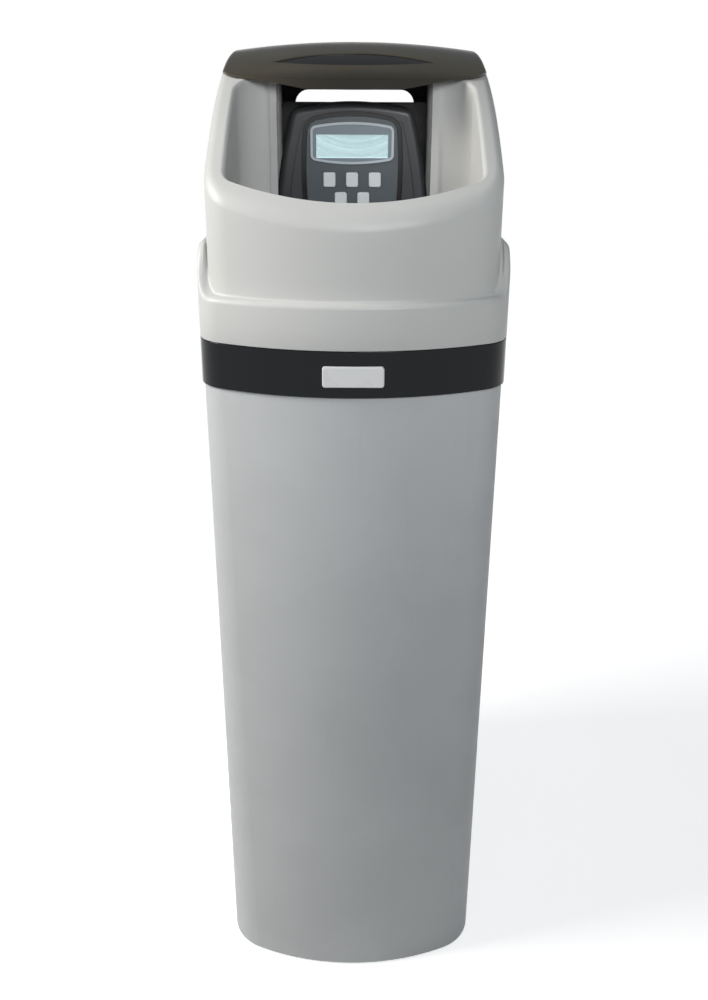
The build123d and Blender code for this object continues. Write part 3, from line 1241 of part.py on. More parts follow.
with BuildPart() as union_nuts:
    with BuildSketch(valve_plane(BYPASS_END - UNION_GRIP)):
        with Locations((-PORT_X, 0), (PORT_X, 0)):
            RegularPolygon(UNION_AF / 2, 8, major_radius=False)
    extrude(amount=-UNION_T)
    rod([(-PORT_X, 0), (PORT_X, 0)], PORT_R + RUNNING_FIT, BYPASS_END - UNION_GRIP,
        UNION_GRIP + TAIL_FLANGE_T, Mode.SUBTRACT)
    rod([(-PORT_X, 0), (PORT_X, 0)], TAIL_R + TAIL_SHOULDER + RUNNING_FIT, BYPASS_END, UNION_T,
        Mode.SUBTRACT)


def case_outline(inset=0.0):
    """The shield-shaped outline of the valve's cover, about the piston's axis."""
    with BuildSketch() as drawn:
        with BuildLine():
            for side in (-1, 1):
                ThreePointArc(*((side * x, z) for x, z in (CASE_SHOULDER, CASE_MIDDLE,
                                                           CASE_WIDEST)))
                ThreePointArc(*((side * x, z) for x, z in (CASE_WIDEST, CASE_LOWER, CASE_FOOT)))
            ThreePointArc((-CASE_SHOULDER[0], CASE_SHOULDER[1]), (0, CASE_TOP), CASE_SHOULDER)
            Line((-CASE_FOOT[0], CASE_FOOT[1]), CASE_FOOT)
        make_face()
        fillet(drawn.vertices().group_by(Axis.Y)[-1], CASE_CORNER_R)
        fillet(drawn.vertices().group_by(Axis.Y)[0], CASE_CORNER_R)
        if inset > 0:
            offset(amount=-inset)
    return drawn.sketch


def panel_outline(growth=0.0):
    """The control panel's outline: arched over the display, narrowing to its foot."""
    with BuildSketch() as drawn:
        with BuildLine():
            for side in (-1, 1):
                ThreePointArc(*((side * x, z) for x, z in (PANEL_SHOULDER, PANEL_MIDDLE,
                                                           PANEL_FOOT)))
            ThreePointArc((-PANEL_SHOULDER[0], PANEL_SHOULDER[1]), (0, PANEL_TOP),
                          PANEL_SHOULDER)
            Line((-PANEL_FOOT[0], PANEL_FOOT[1]), PANEL_FOOT)
        make_face()
        fillet(drawn.vertices().group_by(Axis.Y)[-1], PANEL_TOP_R)
        fillet(drawn.vertices().group_by(Axis.Y)[0], PANEL_FOOT_R)
        if growth:
            offset(amount=growth)
    return drawn.sketch


def bezel_outline(growth=0.0):
    """The display frame's outline, arched at the top and at the bottom."""
    half_w = BEZEL_W / 2
    top = BEZEL_RISE + BEZEL_H / 2
    bottom = BEZEL_RISE - BEZEL_H / 2
    with BuildSketch() as drawn:
        with BuildLine():
            ThreePointArc((-half_w, top - BEZEL_ARCH), (0, top), (half_w, top - BEZEL_ARCH))
            ThreePointArc((-half_w, bottom + BEZEL_ARCH), (0, bottom),
                          (half_w, bottom + BEZEL_ARCH))
            for side in (-half_w, half_w):
                Line((side, bottom + BEZEL_ARCH), (side, top - BEZEL_ARCH))
        make_face()
        fillet(drawn.vertices(), BEZEL_CORNER_R)
        if growth:
            offset(amount=growth)
    return drawn.sketch


def case_block(inset):
    """The valve cover's block with a rounded front edge, drawn in by this much all round."""
    with BuildPart() as body:
        with BuildSketch(valve_plane(FACE_Y + inset)):
            add(case_outline(inset))
        extrude(amount=-CASE_DEPTH - BRACKET_T)
        fillet(body.faces().sort_by(Axis.Y)[0].edges(), CASE_EDGE_R - inset)
    return body.part


# Valve cover: a deep shell with an opening for the panel and a fine line on its cheeks
with BuildPart() as valve_cover:
    add(case_block(0))
    add(case_block(CASE_WALL), mode=Mode.SUBTRACT)
    with BuildSketch(valve_plane(FACE_Y)):
        add(panel_outline(GROOVE_W))
    extrude(amount=-CASE_WALL, mode=Mode.SUBTRACT)
    with BuildSketch(valve_plane(FACE_Y)):
        add(case_outline(CHEEK_INSET))
        add(case_outline(CHEEK_INSET + CHEEK_GROOVE_W), mode=Mode.SUBTRACT)
    extrude(amount=-CHEEK_GROOVE_DEPTH, mode=Mode.SUBTRACT)

# Control panel: its flange closes the cover's opening and leaves the dark groove
with BuildPart() as control_panel:
    with BuildSketch(valve_plane(FACE_Y)):
        add(panel_outline())
    extrude(amount=-CASE_WALL)
    fillet(control_panel.faces().sort_by(Axis.Y)[0].edges(), KEY_EDGE_R)
    with BuildSketch(valve_plane(FACE_Y + CASE_WALL)):
        add(panel_outline(GROOVE_W + PANEL_LAP))
    extrude(amount=-PANEL_T)
    with BuildSketch(valve_plane(FACE_Y + PANEL_T)):
        add(panel_outline(-PANEL_T))
    extrude(amount=-CASE_WALL - PANEL_T, mode=Mode.SUBTRACT)
    with BuildSketch(valve_plane(FACE_Y)):
        add(bezel_outline(SEAT_FIT / 2))
        with Locations(*KEY_SPOTS.values()):
            RectangleRounded(KEY_W + 2 * KEY_PLAY, KEY_H + 2 * KEY_PLAY, KEY_R)
    extrude(amount=-CASE_WALL - PANEL_T, mode=Mode.SUBTRACT)

with BuildPart() as display_bezel:
    with BuildSketch(valve_plane(FACE_Y - BEZEL_PROUD)):
        add(bezel_outline())
    extrude(amount=-BEZEL_PROUD - PANEL_T)
    fillet(display_bezel.faces().sort_by(Axis.Y)[0].edges(), KEY_EDGE_R)
    with BuildSketch(valve_plane(FACE_Y - BEZEL_PROUD)):
        add(bezel_outline(-BEZEL_RIM_W))
    extrude(amount=-BEZEL_RIM_DEPTH, mode=Mode.SUBTRACT)
    with BuildSketch(valve_plane(FACE_Y - BEZEL_PROUD)):
        with Locations((0, BEZEL_RISE - WINDOW_DROP)):
            Rectangle(WINDOW_W, WINDOW_H)
    extrude(amount=-BEZEL_PROUD - PANEL_T, mode=Mode.SUBTRACT)

with BuildPart() as display_lens:
    with BuildSketch(valve_plane(FACE_Y + LENS_SINK)):
        with Locations((0, BEZEL_RISE - WINDOW_DROP)):
            Rectangle(WINDOW_W - SEAT_FIT, WINDOW_H - SEAT_FIT)
    extrude(amount=LENS_SINK - PANEL_T)
    with BuildSketch(valve_plane(FACE_Y + PANEL_T)):
        with Locations((0, BEZEL_RISE - WINDOW_DROP)):
            Rectangle(WINDOW_W + 2 * LENS_LAP, WINDOW_H + 2 * LENS_LAP)
    extrude(amount=-LENS_FLANGE_T)

with BuildPart() as lcd_module:
    with BuildSketch(valve_plane(FACE_Y + PANEL_T + LENS_FLANGE_T)):
        with Locations((0, BEZEL_RISE - WINDOW_DROP)):
            Rectangle(WINDOW_W, WINDOW_H)
    extrude(amount=PANEL_T + LENS_FLANGE_T - BOARD_DEPTH)


def key(spot):
    """A push key: its cap, the flange that keeps it behind the panel, and its stem."""
    with BuildPart() as body:
        with BuildSketch(valve_plane(FACE_Y - KEY_PROUD)):
            with Locations(spot):
                RectangleRounded(KEY_W, KEY_H, KEY_R)
        extrude(amount=-KEY_PROUD - PANEL_T)
        fillet(body.faces().sort_by(Axis.Y)[0].edges(), KEY_EDGE_R)
        with BuildSketch(valve_plane(FACE_Y + PANEL_T + SEAT_FIT)):
            with Locations(spot):
                RectangleRounded(KEY_W + 2 * KEY_LAP, KEY_H + 2 * KEY_LAP, KEY_R)
        extrude(amount=-KEY_FLANGE_T)
        with BuildSketch(valve_plane(FACE_Y)):
            with Locations(spot):
                RectangleRounded(KEY_W, KEY_H, KEY_R)
        extrude(amount=-PANEL_T - 2 * SEAT_FIT)
        rod([spot], KEY_STEM_R, FACE_Y + PANEL_T,
            BOARD_DEPTH - SWITCH_H - SEAT_FIT - KEY_TRAVEL - PANEL_T)
    return body


keys = {name: key(spot) for name, spot in KEY_SPOTS.items()}

with BuildPart() as circuit_board:
    with BuildSketch(valve_plane(BOARD_Y)):
        with Locations((0, (BOARD_TOP + BOARD_BOTTOM) / 2)):
            RectangleRounded(2 * BOARD_HALF_W, BOARD_TOP - BOARD_BOTTOM, KEY_R)
    extrude(amount=-BOARD_T)

with BuildPart() as key_switches:
    with BuildSketch(valve_plane(BOARD_Y)):
        with Locations(*KEY_SPOTS.values()):
            Rectangle(SWITCH_W, SWITCH_W)
    extrude(amount=SWITCH_H)

# Drive bracket: the plate behind the gears, with the wheel's axle and posts for the board
with BuildPart() as drive_bracket:
    with BuildSketch(valve_plane(BRACKET_Y)):
        add(case_outline(CASE_WALL + SEAT_FIT))
        Circle(HUB_JOURNAL_R + RUNNING_FIT, mode=Mode.SUBTRACT)
        with Locations(MOTOR_SPOT):
            Circle(2 * SHAFT_R, mode=Mode.SUBTRACT)
        with Locations(*BOLT_SPOTS):
            Circle(BOLT_R, mode=Mode.SUBTRACT)
    extrude(amount=-BRACKET_T)
    rod([WHEEL_SPOT], AXLE_R, WHEEL_Y - AXLE_R, BRACKET_Y - WHEEL_Y + AXLE_R)
    rod([WHEEL_SPOT], 2 * AXLE_R, MAIN_Y + MAIN_T + SEAT_FIT,
        BRACKET_Y - MAIN_Y - MAIN_T - SEAT_FIT)
    rod(POSTS, POST_R, BOARD_Y + BOARD_T, BRACKET_Y - BOARD_Y - BOARD_T)

with BuildPart() as bracket_bolts:
    rod(BOLT_SPOTS, BOLT_R, BRACKET_Y, BRACKET_T + FLANGE_T)
    rod(BOLT_SPOTS, BOLT_HEAD_R, BRACKET_Y - BOLT_HEAD_T, BOLT_HEAD_T)
    fillet(bracket_bolts.faces().group_by(Axis.Y)[0].edges(), BOLT_HEAD_T / 4)

with BuildPart() as drive_motor:
    rod([MOTOR_SPOT], MOTOR_R, BODY_Y, MOTOR_L)
    fillet(drive_motor.faces().sort_by(Axis.Y)[-1].edges(), SHAFT_R)
    rod([MOTOR_SPOT], SHAFT_R + RUNNING_FIT, BODY_Y, SHAFT_GRIP, Mode.SUBTRACT)


def gear_outline(teeth, turn):
    """Involute teeth about the origin, the first one at the angle turn in degrees."""
    pitch_r = MODULE * teeth / 2
    base_r = pitch_r * cos(radians(PRESSURE_ANGLE))
    root_r = pitch_r - 1.25 * MODULE
    tip_r = pitch_r + MODULE
    at_pitch = pi / (2 * teeth) - BACKLASH / (4 * pitch_r)
    spread = tan(radians(PRESSURE_ANGLE)) - radians(PRESSURE_ANGLE)
    flank = [(root_r, at_pitch + spread)] if root_r < base_r else []
    low_r = max(root_r, base_r)
    for step in range(FLANK_STEPS + 1):
        r = low_r + (tip_r - low_r) * step / FLANK_STEPS
        roll = acos(base_r / r)
        flank.append((r, at_pitch + spread - (tan(roll) - roll)))
    points = []
    for tooth in range(teeth):
        middle = radians(turn) + 2 * pi * tooth / teeth
        sides = [(r, middle - half) for r, half in flank]
        sides += [(r, middle + half) for r, half in reversed(flank)]
        points += [(r * cos(a), r * sin(a)) for r, a in sides]
    with BuildSketch() as drawn:
        with BuildLine():
            Polyline(*points, close=True)
        make_face()
    return drawn.sketch


def gear(spot, teeth, turn, start, length):
    """A toothed disc for the open part."""
    with BuildSketch(valve_plane(start)) as disc:
        with Locations(spot):
            add(gear_outline(teeth, turn))
    extrude(disc.sketch, amount=-length)


# Gears: the motor's pinion turns the double wheel, and its pinion turns the main gear
with BuildPart() as main_gear:
    gear((0, 0), MAIN_TEETH, 0, MAIN_Y, MAIN_T)
    rod([(0, 0)], HUB_JOURNAL_R, MAIN_Y - HUB_NOSE, BODY_Y - MAIN_Y + HUB_NOSE)
    rod([(0, 0)], ROD_R + RUNNING_FIT, MAIN_Y - HUB_NOSE, BODY_Y, Mode.SUBTRACT)

with BuildPart() as reduction_wheel:
    gear(WHEEL_SPOT, PINION_TEETH, WHEEL_TURN, WHEEL_Y, BRACKET_Y - BOLT_HEAD_T - WHEEL_Y
         - GEAR_GAP / 2)
    gear(WHEEL_SPOT, WHEEL_TEETH, WHEEL_TURN, WHEEL_Y, WHEEL_T)
    rod([WHEEL_SPOT], AXLE_R + RUNNING_FIT, WHEEL_Y, BRACKET_Y - WHEEL_Y, Mode.SUBTRACT)

with BuildPart() as motor_pinion:
    gear(MOTOR_SPOT, PINION_TEETH, MOTOR_TURN, WHEEL_Y, WHEEL_T)
    rod([MOTOR_SPOT], SHAFT_R, WHEEL_Y, BODY_Y + SHAFT_GRIP - SHAFT_R - WHEEL_Y)

pieces = {
    "cabinet_shell": cabinet_shell, "trim_band": trim_band, "name_plate": name_plate,
    "top_cover": top_cover, "cover_screws": cover_screws, "cable_grommet": cable_grommet,
    "bay_strips": bay_strips, "strip_clips": strip_clips, "bay_shroud": bay_shroud,
    "rear_deck": rear_deck, "sliding_lid": sliding_lid, "lid_runners": lid_runners,
    "resin_tank": resin_tank, "tank_boot": tank_boot, "riser_tube": riser_tube,
    "bottom_basket": bottom_basket, "top_basket": top_basket, "gravel_bed": gravel_bed,
    "resin_bed": resin_bed, "salt_grid": salt_grid, "brine_well": brine_well,
    "brine_well_cap": brine_well_cap, "float_valve": float_valve, "brine_float": brine_float,
    "air_check": air_check, "brine_line": brine_line, "overflow_elbow": overflow_elbow,
    "overflow_nut": overflow_nut, "valve_body": valve_body, "seal_stack": seal_stack,
    "piston": piston, "injector_cap": injector_cap, "brine_elbow": brine_elbow,
    "drain_elbow": drain_elbow, "meter_turbine": meter_turbine, "bypass_body": bypass_body,
    "bypass_handle_inlet": bypass_handle_inlet, "bypass_handle_outlet": bypass_handle_outlet,
    "pipe_tails": pipe_tails, "union_nuts": union_nuts, "valve_cover": valve_cover,
    "control_panel": control_panel, "display_bezel": display_bezel,
    "display_lens": display_lens, "lcd_module": lcd_module, "circuit_board": circuit_board,
    "key_switches": key_switches, "drive_bracket": drive_bracket,
    "bracket_bolts": bracket_bolts, "drive_motor": drive_motor, "main_gear": main_gear,
    "reduction_wheel": reduction_wheel, "motor_pinion": motor_pinion, **keys}

os.makedirs("parts", exist_ok=True)
for name, piece in pieces.items():
    piece.part.label = name
    export_step(piece.part, f"parts/{name}.step")
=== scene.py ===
import json
import math

import bpy
import numpy as np
from mathutils import Matrix


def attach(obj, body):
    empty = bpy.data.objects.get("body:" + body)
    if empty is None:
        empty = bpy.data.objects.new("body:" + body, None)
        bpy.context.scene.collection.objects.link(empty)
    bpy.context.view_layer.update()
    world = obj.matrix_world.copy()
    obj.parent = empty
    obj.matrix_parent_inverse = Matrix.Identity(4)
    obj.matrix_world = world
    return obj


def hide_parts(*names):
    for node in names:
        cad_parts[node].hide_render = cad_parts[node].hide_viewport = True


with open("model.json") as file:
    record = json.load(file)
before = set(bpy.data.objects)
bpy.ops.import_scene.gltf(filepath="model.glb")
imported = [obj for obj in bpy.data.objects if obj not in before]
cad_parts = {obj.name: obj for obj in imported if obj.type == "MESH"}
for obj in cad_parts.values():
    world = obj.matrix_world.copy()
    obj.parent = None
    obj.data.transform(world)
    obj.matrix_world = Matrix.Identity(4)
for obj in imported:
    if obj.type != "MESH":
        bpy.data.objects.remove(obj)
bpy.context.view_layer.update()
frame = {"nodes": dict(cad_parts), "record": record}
nodes = frame["nodes"]


# Materials: each one is a small node graph on object coordinates, in metres
class Graph:
    """The nodes of one material, with short calls for the ones used here."""

    def __init__(self, name):
        self.material = bpy.data.materials.new(name)
        self.material.use_nodes = True
        self.tree = self.material.node_tree
        self.shader = self.tree.nodes["Principled BSDF"]
        self.place = self.add("ShaderNodeTexCoord").outputs["Object"]

    def add(self, kind, **values):
        node = self.tree.nodes.new(kind)
        for key, value in values.items():
            setattr(node, key, value)
        return node

    def join(self, output, entry):
        self.tree.links.new(output, entry)

    def stretched(self, scale):
        """Object coordinates with their own scale on each axis."""
        node = self.add("ShaderNodeMapping")
        node.inputs["Scale"].default_value = scale
        self.join(self.place, node.inputs["Vector"])
        return node.outputs["Vector"]

    def noise(self, scale, detail=4.0, roughness=0.5, vector=None):
        node = self.add("ShaderNodeTexNoise")
        node.inputs["Scale"].default_value = scale
        node.inputs["Detail"].default_value = detail
        node.inputs["Roughness"].default_value = roughness
        self.join(vector or self.place, node.inputs["Vector"])
        return node.outputs["Fac"]

    def cells(self, scale):
        node = self.add("ShaderNodeTexVoronoi")
        node.inputs["Scale"].default_value = scale
        self.join(self.place, node.inputs["Vector"])
        return node

    def waves(self, scale, vector=None, **sockets):
        """Bands across Z."""
        node = self.add("ShaderNodeTexWave", bands_direction="Z")
        node.inputs["Scale"].default_value = scale
        for key, value in sockets.items():
            node.inputs[key].default_value = value
        self.join(vector or self.place, node.inputs["Vector"])
        return node.outputs["Fac"]

    def ramp(self, value, stops):
        node = self.add("ShaderNodeValToRGB")
        points = node.color_ramp.elements
        while len(points) < len(stops):
            points.new(0.5)
        for point, (at, color) in zip(points, stops):
            point.position = at
            point.color = (*color, 1.0)
        self.join(value, node.inputs["Fac"])
        return node.outputs["Color"]

    def span(self, value, low, high, start=0.0, end=1.0):
        node = self.add("ShaderNodeMapRange")
        for key, number in (("From Min", start), ("From Max", end), ("To Min", low),
                            ("To Max", high)):
            node.inputs[key].default_value = number
        self.join(value, node.inputs["Value"])
        return node.outputs["Result"]

    def mixed(self, share, tint, color):
        """A colour output with a share of a second, plain colour."""
        node = self.add("ShaderNodeMix", data_type="RGBA")
        self.join(share, node.inputs["Factor"])
        self.join(tint, node.inputs["A"])
        node.inputs["B"].default_value = (*color, 1.0)
        return node.outputs["Result"]

    def combine(self, operation, *values):
        """A sum, product or other step on outputs and plain numbers."""
        node = self.add("ShaderNodeMath", operation=operation)
        for entry, value in zip(node.inputs, values):
            if isinstance(value, (int, float)):
                entry.default_value = value
            else:
                self.join(value, entry)
        return node.outputs["Value"]

    def axes(self):
        node = self.add("ShaderNodeSeparateXYZ")
        self.join(self.place, node.inputs["Vector"])
        return node.outputs["X"], node.outputs["Y"], node.outputs["Z"]

    def bump(self, height, strength, distance, under=None):
        node = self.add("ShaderNodeBump")
        node.inputs["Strength"].default_value = strength
        node.inputs["Distance"].default_value = distance
        self.join(height, node.inputs["Height"])
        if under:
            self.join(under, node.inputs["Normal"])
        return node.outputs["Normal"]

    def finish(self, color=None, roughness=None, normal=None, **sockets):
        for entry, value in (("Base Color", color), ("Roughness", roughness),
                             ("Normal", normal)):
            if value is not None:
                self.join(value, self.shader.inputs[entry])
        for key, value in sockets.items():
            self.shader.inputs[key.replace("_", " ")].default_value = value
        return self.material


# The lid's painted shade fills its finger recess, which lies between two arcs, and darkens its front;
# the panels change colour at a depth, as painted shade in the groove and a painted highlight on the
# bezel's rim
RECESS_CENTRES, RECESS_R, RECESS_FADE = (0.1731, -0.1711), 0.1961, 0.0016
LID_FRONT_Y, LID_CLEAR_Y = -0.064, -0.030
GROOVE_Y, BEZEL_FIELD_Y, PANEL_FADE = -0.0067, -0.0092, 0.0006


def shade(color, factor):
    return tuple(min(1.0, c * factor) for c in color)


def moulded(name, color, rough=(0.42, 0.55), grain=900.0, depth=0.00012, drift=0.05,
            scuffs=0.0, painted_shade_reach=0.0, **sockets):
    """Moulded plastic: slight clouds of colour, a fine leathery grain, uneven gloss. Painted shade,
    from an ambient occlusion mask, darkens the hollows up to the width that is given."""
    g = Graph(name)
    clouds = g.noise(7.0, 5.0)
    low, high = shade(color, 1 - drift), shade(color, 1 + drift)
    tint = g.ramp(clouds, [(0.3, low), (0.7, high)])
    fine = g.noise(grain, 3.0, 0.6)
    wide = g.noise(60.0, 3.0)
    gloss = g.span(wide, rough[0], rough[1], 0.3, 0.7)
    normal = g.bump(fine, 0.35, depth)
    normal = g.bump(wide, 0.15, 10 * depth, under=normal)
    if scuffs:
        streak = g.noise(40.0, 8.0, 0.75, g.stretched((1.0, 1.0, 0.12)))
        tint = g.mixed(g.span(streak, 0.0, scuffs, 0.58, 0.8), tint, shade(color, 0.8))
    # Painted shade in the hollows, from ambient occlusion
    if painted_shade_reach:
        painted_shade_node = g.add("ShaderNodeAmbientOcclusion", samples=8)
        painted_shade_node.inputs["Distance"].default_value = painted_shade_reach
        tint = g.mixed(g.span(painted_shade_node.outputs["AO"], 0.9, 0.0, 0.35, 0.85), tint, shade(color, 0.12))
    return g.finish(tint, gloss, normal, **sockets)


def lacquered(name, color, rough=(0.05, 0.12), drift=0.1, **sockets):
    """Gloss plastic: hairline scratches and a faint waviness in the reflections."""
    g = Graph(name)
    tint = g.ramp(g.noise(5.0), [(0.35, shade(color, 1 - drift)), (0.65, shade(color, 1 + drift))])
    hair = g.noise(300.0, 6.0, 0.8, g.stretched((0.08, 1.0, 1.0)))
    dust = g.noise(45.0, 8.0, 0.8)
    gloss = g.span(dust, rough[0], rough[1], 0.35, 0.75)
    normal = g.bump(hair, 0.04, 0.0001)
    normal = g.bump(g.noise(18.0, 1.0), 0.04, 0.001, under=normal)
    return g.finish(tint, gloss, normal, **sockets)


def lid_gloss(name, color, painted_shade_color):
    """The lid's gloss brown-black, with painted shade: darker to the front and in its lens-shaped
    finger recess.
    """
    g = Graph(name)
    x, y, _ = g.axes()
    x2 = g.combine("MULTIPLY", x, x)
    inside = []
    for centre in RECESS_CENTRES:
        dy = g.combine("SUBTRACT", y, centre)
        away = g.combine("SQRT", g.combine("ADD", x2, g.combine("MULTIPLY", dy, dy)))
        inside.append(g.span(away, 1.0, 0.0, RECESS_R - RECESS_FADE, RECESS_R))
    # Painted shade in the finger recess: the lens mask blends in the shade colour
    lens = g.combine("MULTIPLY", *inside)
    clouds = g.ramp(g.noise(9.0, 5.0, 0.6), [(0.3, shade(color, 0.8)), (0.7, shade(color, 1.25))])
    # Painted shade towards the lid's front edge
    clouds = g.mixed(g.span(y, 0.75, 0.0, LID_FRONT_Y, LID_CLEAR_Y), clouds, painted_shade_color)
    tint = g.mixed(lens, clouds, painted_shade_color)
    gloss = g.span(g.noise(45.0, 8.0, 0.8), 0.16, 0.28, 0.35, 0.75)
    normal = g.bump(g.noise(300.0, 6.0, 0.8, g.stretched((0.08, 1.0, 1.0))), 0.05, 0.0001)
    return g.finish(tint, gloss, g.bump(g.noise(22.0, 1.0), 0.05, 0.001, under=normal),
                    Specular_IOR_Level=0.25)


def painted_light_by_depth(name, color, deep_color, depth):
    """A satin face in one colour, and in a second one behind the given depth along Y: the step paints
    light, as painted shade in a groove or as a painted highlight on a rim in front of a darker field.
    """
    g = Graph(name)
    clouds = g.ramp(g.noise(9.0, 5.0), [(0.3, shade(color, 0.94)), (0.7, shade(color, 1.06))])
    deep = g.span(g.axes()[1], 0.0, 1.0, depth, depth + PANEL_FADE)
    normal = g.bump(g.noise(1900.0, 3.0, 0.6), 0.35, 0.00008)
    return g.finish(g.mixed(deep, clouds, deep_color), g.span(g.noise(60.0, 3.0), 0.3, 0.42, 0.3, 0.7),
                    normal)


def brushed(name, color, along, rough=(0.25, 0.4)):
    """Metal with lines along one axis."""
    g = Graph(name)
    lines = g.noise(500.0, 4.0, 0.7, g.stretched(along))
    tint = g.ramp(lines, [(0.3, shade(color, 0.85)), (0.7, shade(color, 1.1))])
    return g.finish(tint, g.span(lines, *rough, 0.3, 0.7), g.bump(lines, 0.12, 0.0001),
                    Metallic=1.0)


def beads(name, colors, size, depth):
    """Loose grains: rounded cells, each with its own colour."""
    g = Graph(name)
    cells = g.cells(1.0 / size)
    split = g.add("ShaderNodeSeparateColor")
    g.join(cells.outputs["Color"], split.inputs["Color"])
    tint = g.ramp(split.outputs["Red"], [(i / (len(colors) - 1), c)
                                         for i, c in enumerate(colors)])
    round_top = g.span(cells.outputs["Distance"], 1.0, 0.0, 0.0, 0.7)
    rough = g.span(split.outputs["Green"], 0.3, 0.6)
    return g.finish(tint, rough, g.bump(round_top, 0.9, depth))


def wound(name, color):
    """A vessel of fibre wound on the slant under resin."""
    g = Graph(name)
    fibres = []
    for tilt in (0.9, -0.9):
        turn = g.add("ShaderNodeMapping")
        turn.inputs["Rotation"].default_value = (0.0, tilt, 0.0)
        g.join(g.place, turn.inputs["Vector"])
        fibres.append(g.waves(45.0, turn.outputs["Vector"], Distortion=1.2, Detail=3.0))
    both = g.combine("MULTIPLY", *fibres)
    tint = g.ramp(both, [(0.1, shade(color, 0.75)), (0.8, shade(color, 1.3))])
    return g.finish(tint, g.span(g.noise(30.0), 0.25, 0.45, 0.3, 0.7), g.bump(both, 0.25, 0.0006))


def board(name, color):
    """A circuit board: lacquer over faint copper tracks."""
    g = Graph(name)
    tracks = g.add("ShaderNodeTexBrick")
    tracks.inputs["Scale"].default_value = 220.0
    tracks.inputs["Mortar Size"].default_value = 0.06
    g.join(g.place, tracks.inputs["Vector"])
    tint = g.ramp(tracks.outputs["Fac"], [(0.0, color), (1.0, shade(color, 1.8))])
    return g.finish(tint, g.span(g.noise(60.0), 0.25, 0.4, 0.3, 0.7),
                    g.bump(tracks.outputs["Fac"], 0.1, 0.0001))


def display(name, color):
    """A pale liquid crystal field with a painted glow, though it is no lamp: its glow falls off and a
    fine row grid shows.
    """
    g = Graph(name)
    rows = g.waves(250.0)
    glow = g.noise(14.0, 2.0)
    both = g.combine("MULTIPLY_ADD", rows, 0.03, glow)
    tint = g.ramp(both, [(0.3, shade(color, 0.95)), (0.8, shade(color, 1.04))])
    # Painted glow: the tint is emitted as light
    g.join(tint, g.shader.inputs["Emission Color"])
    return g.finish(tint, g.span(glow, 0.18, 0.3), g.bump(rows, 0.05, 0.0001),
                    Emission_Strength=0.75)


def clear(name, color):
    """A clear window with a faint tint and fine dust."""
    g = Graph(name)
    tint = g.ramp(g.noise(40.0, 6.0, 0.7), [(0.4, color), (0.8, shade(color, 0.94))])
    return g.finish(tint, g.span(g.noise(90.0, 6.0, 0.8), 0.02, 0.1, 0.4, 0.8),
                    g.bump(g.noise(25.0, 1.0), 0.02, 0.001), Alpha=0.22, IOR=1.49)


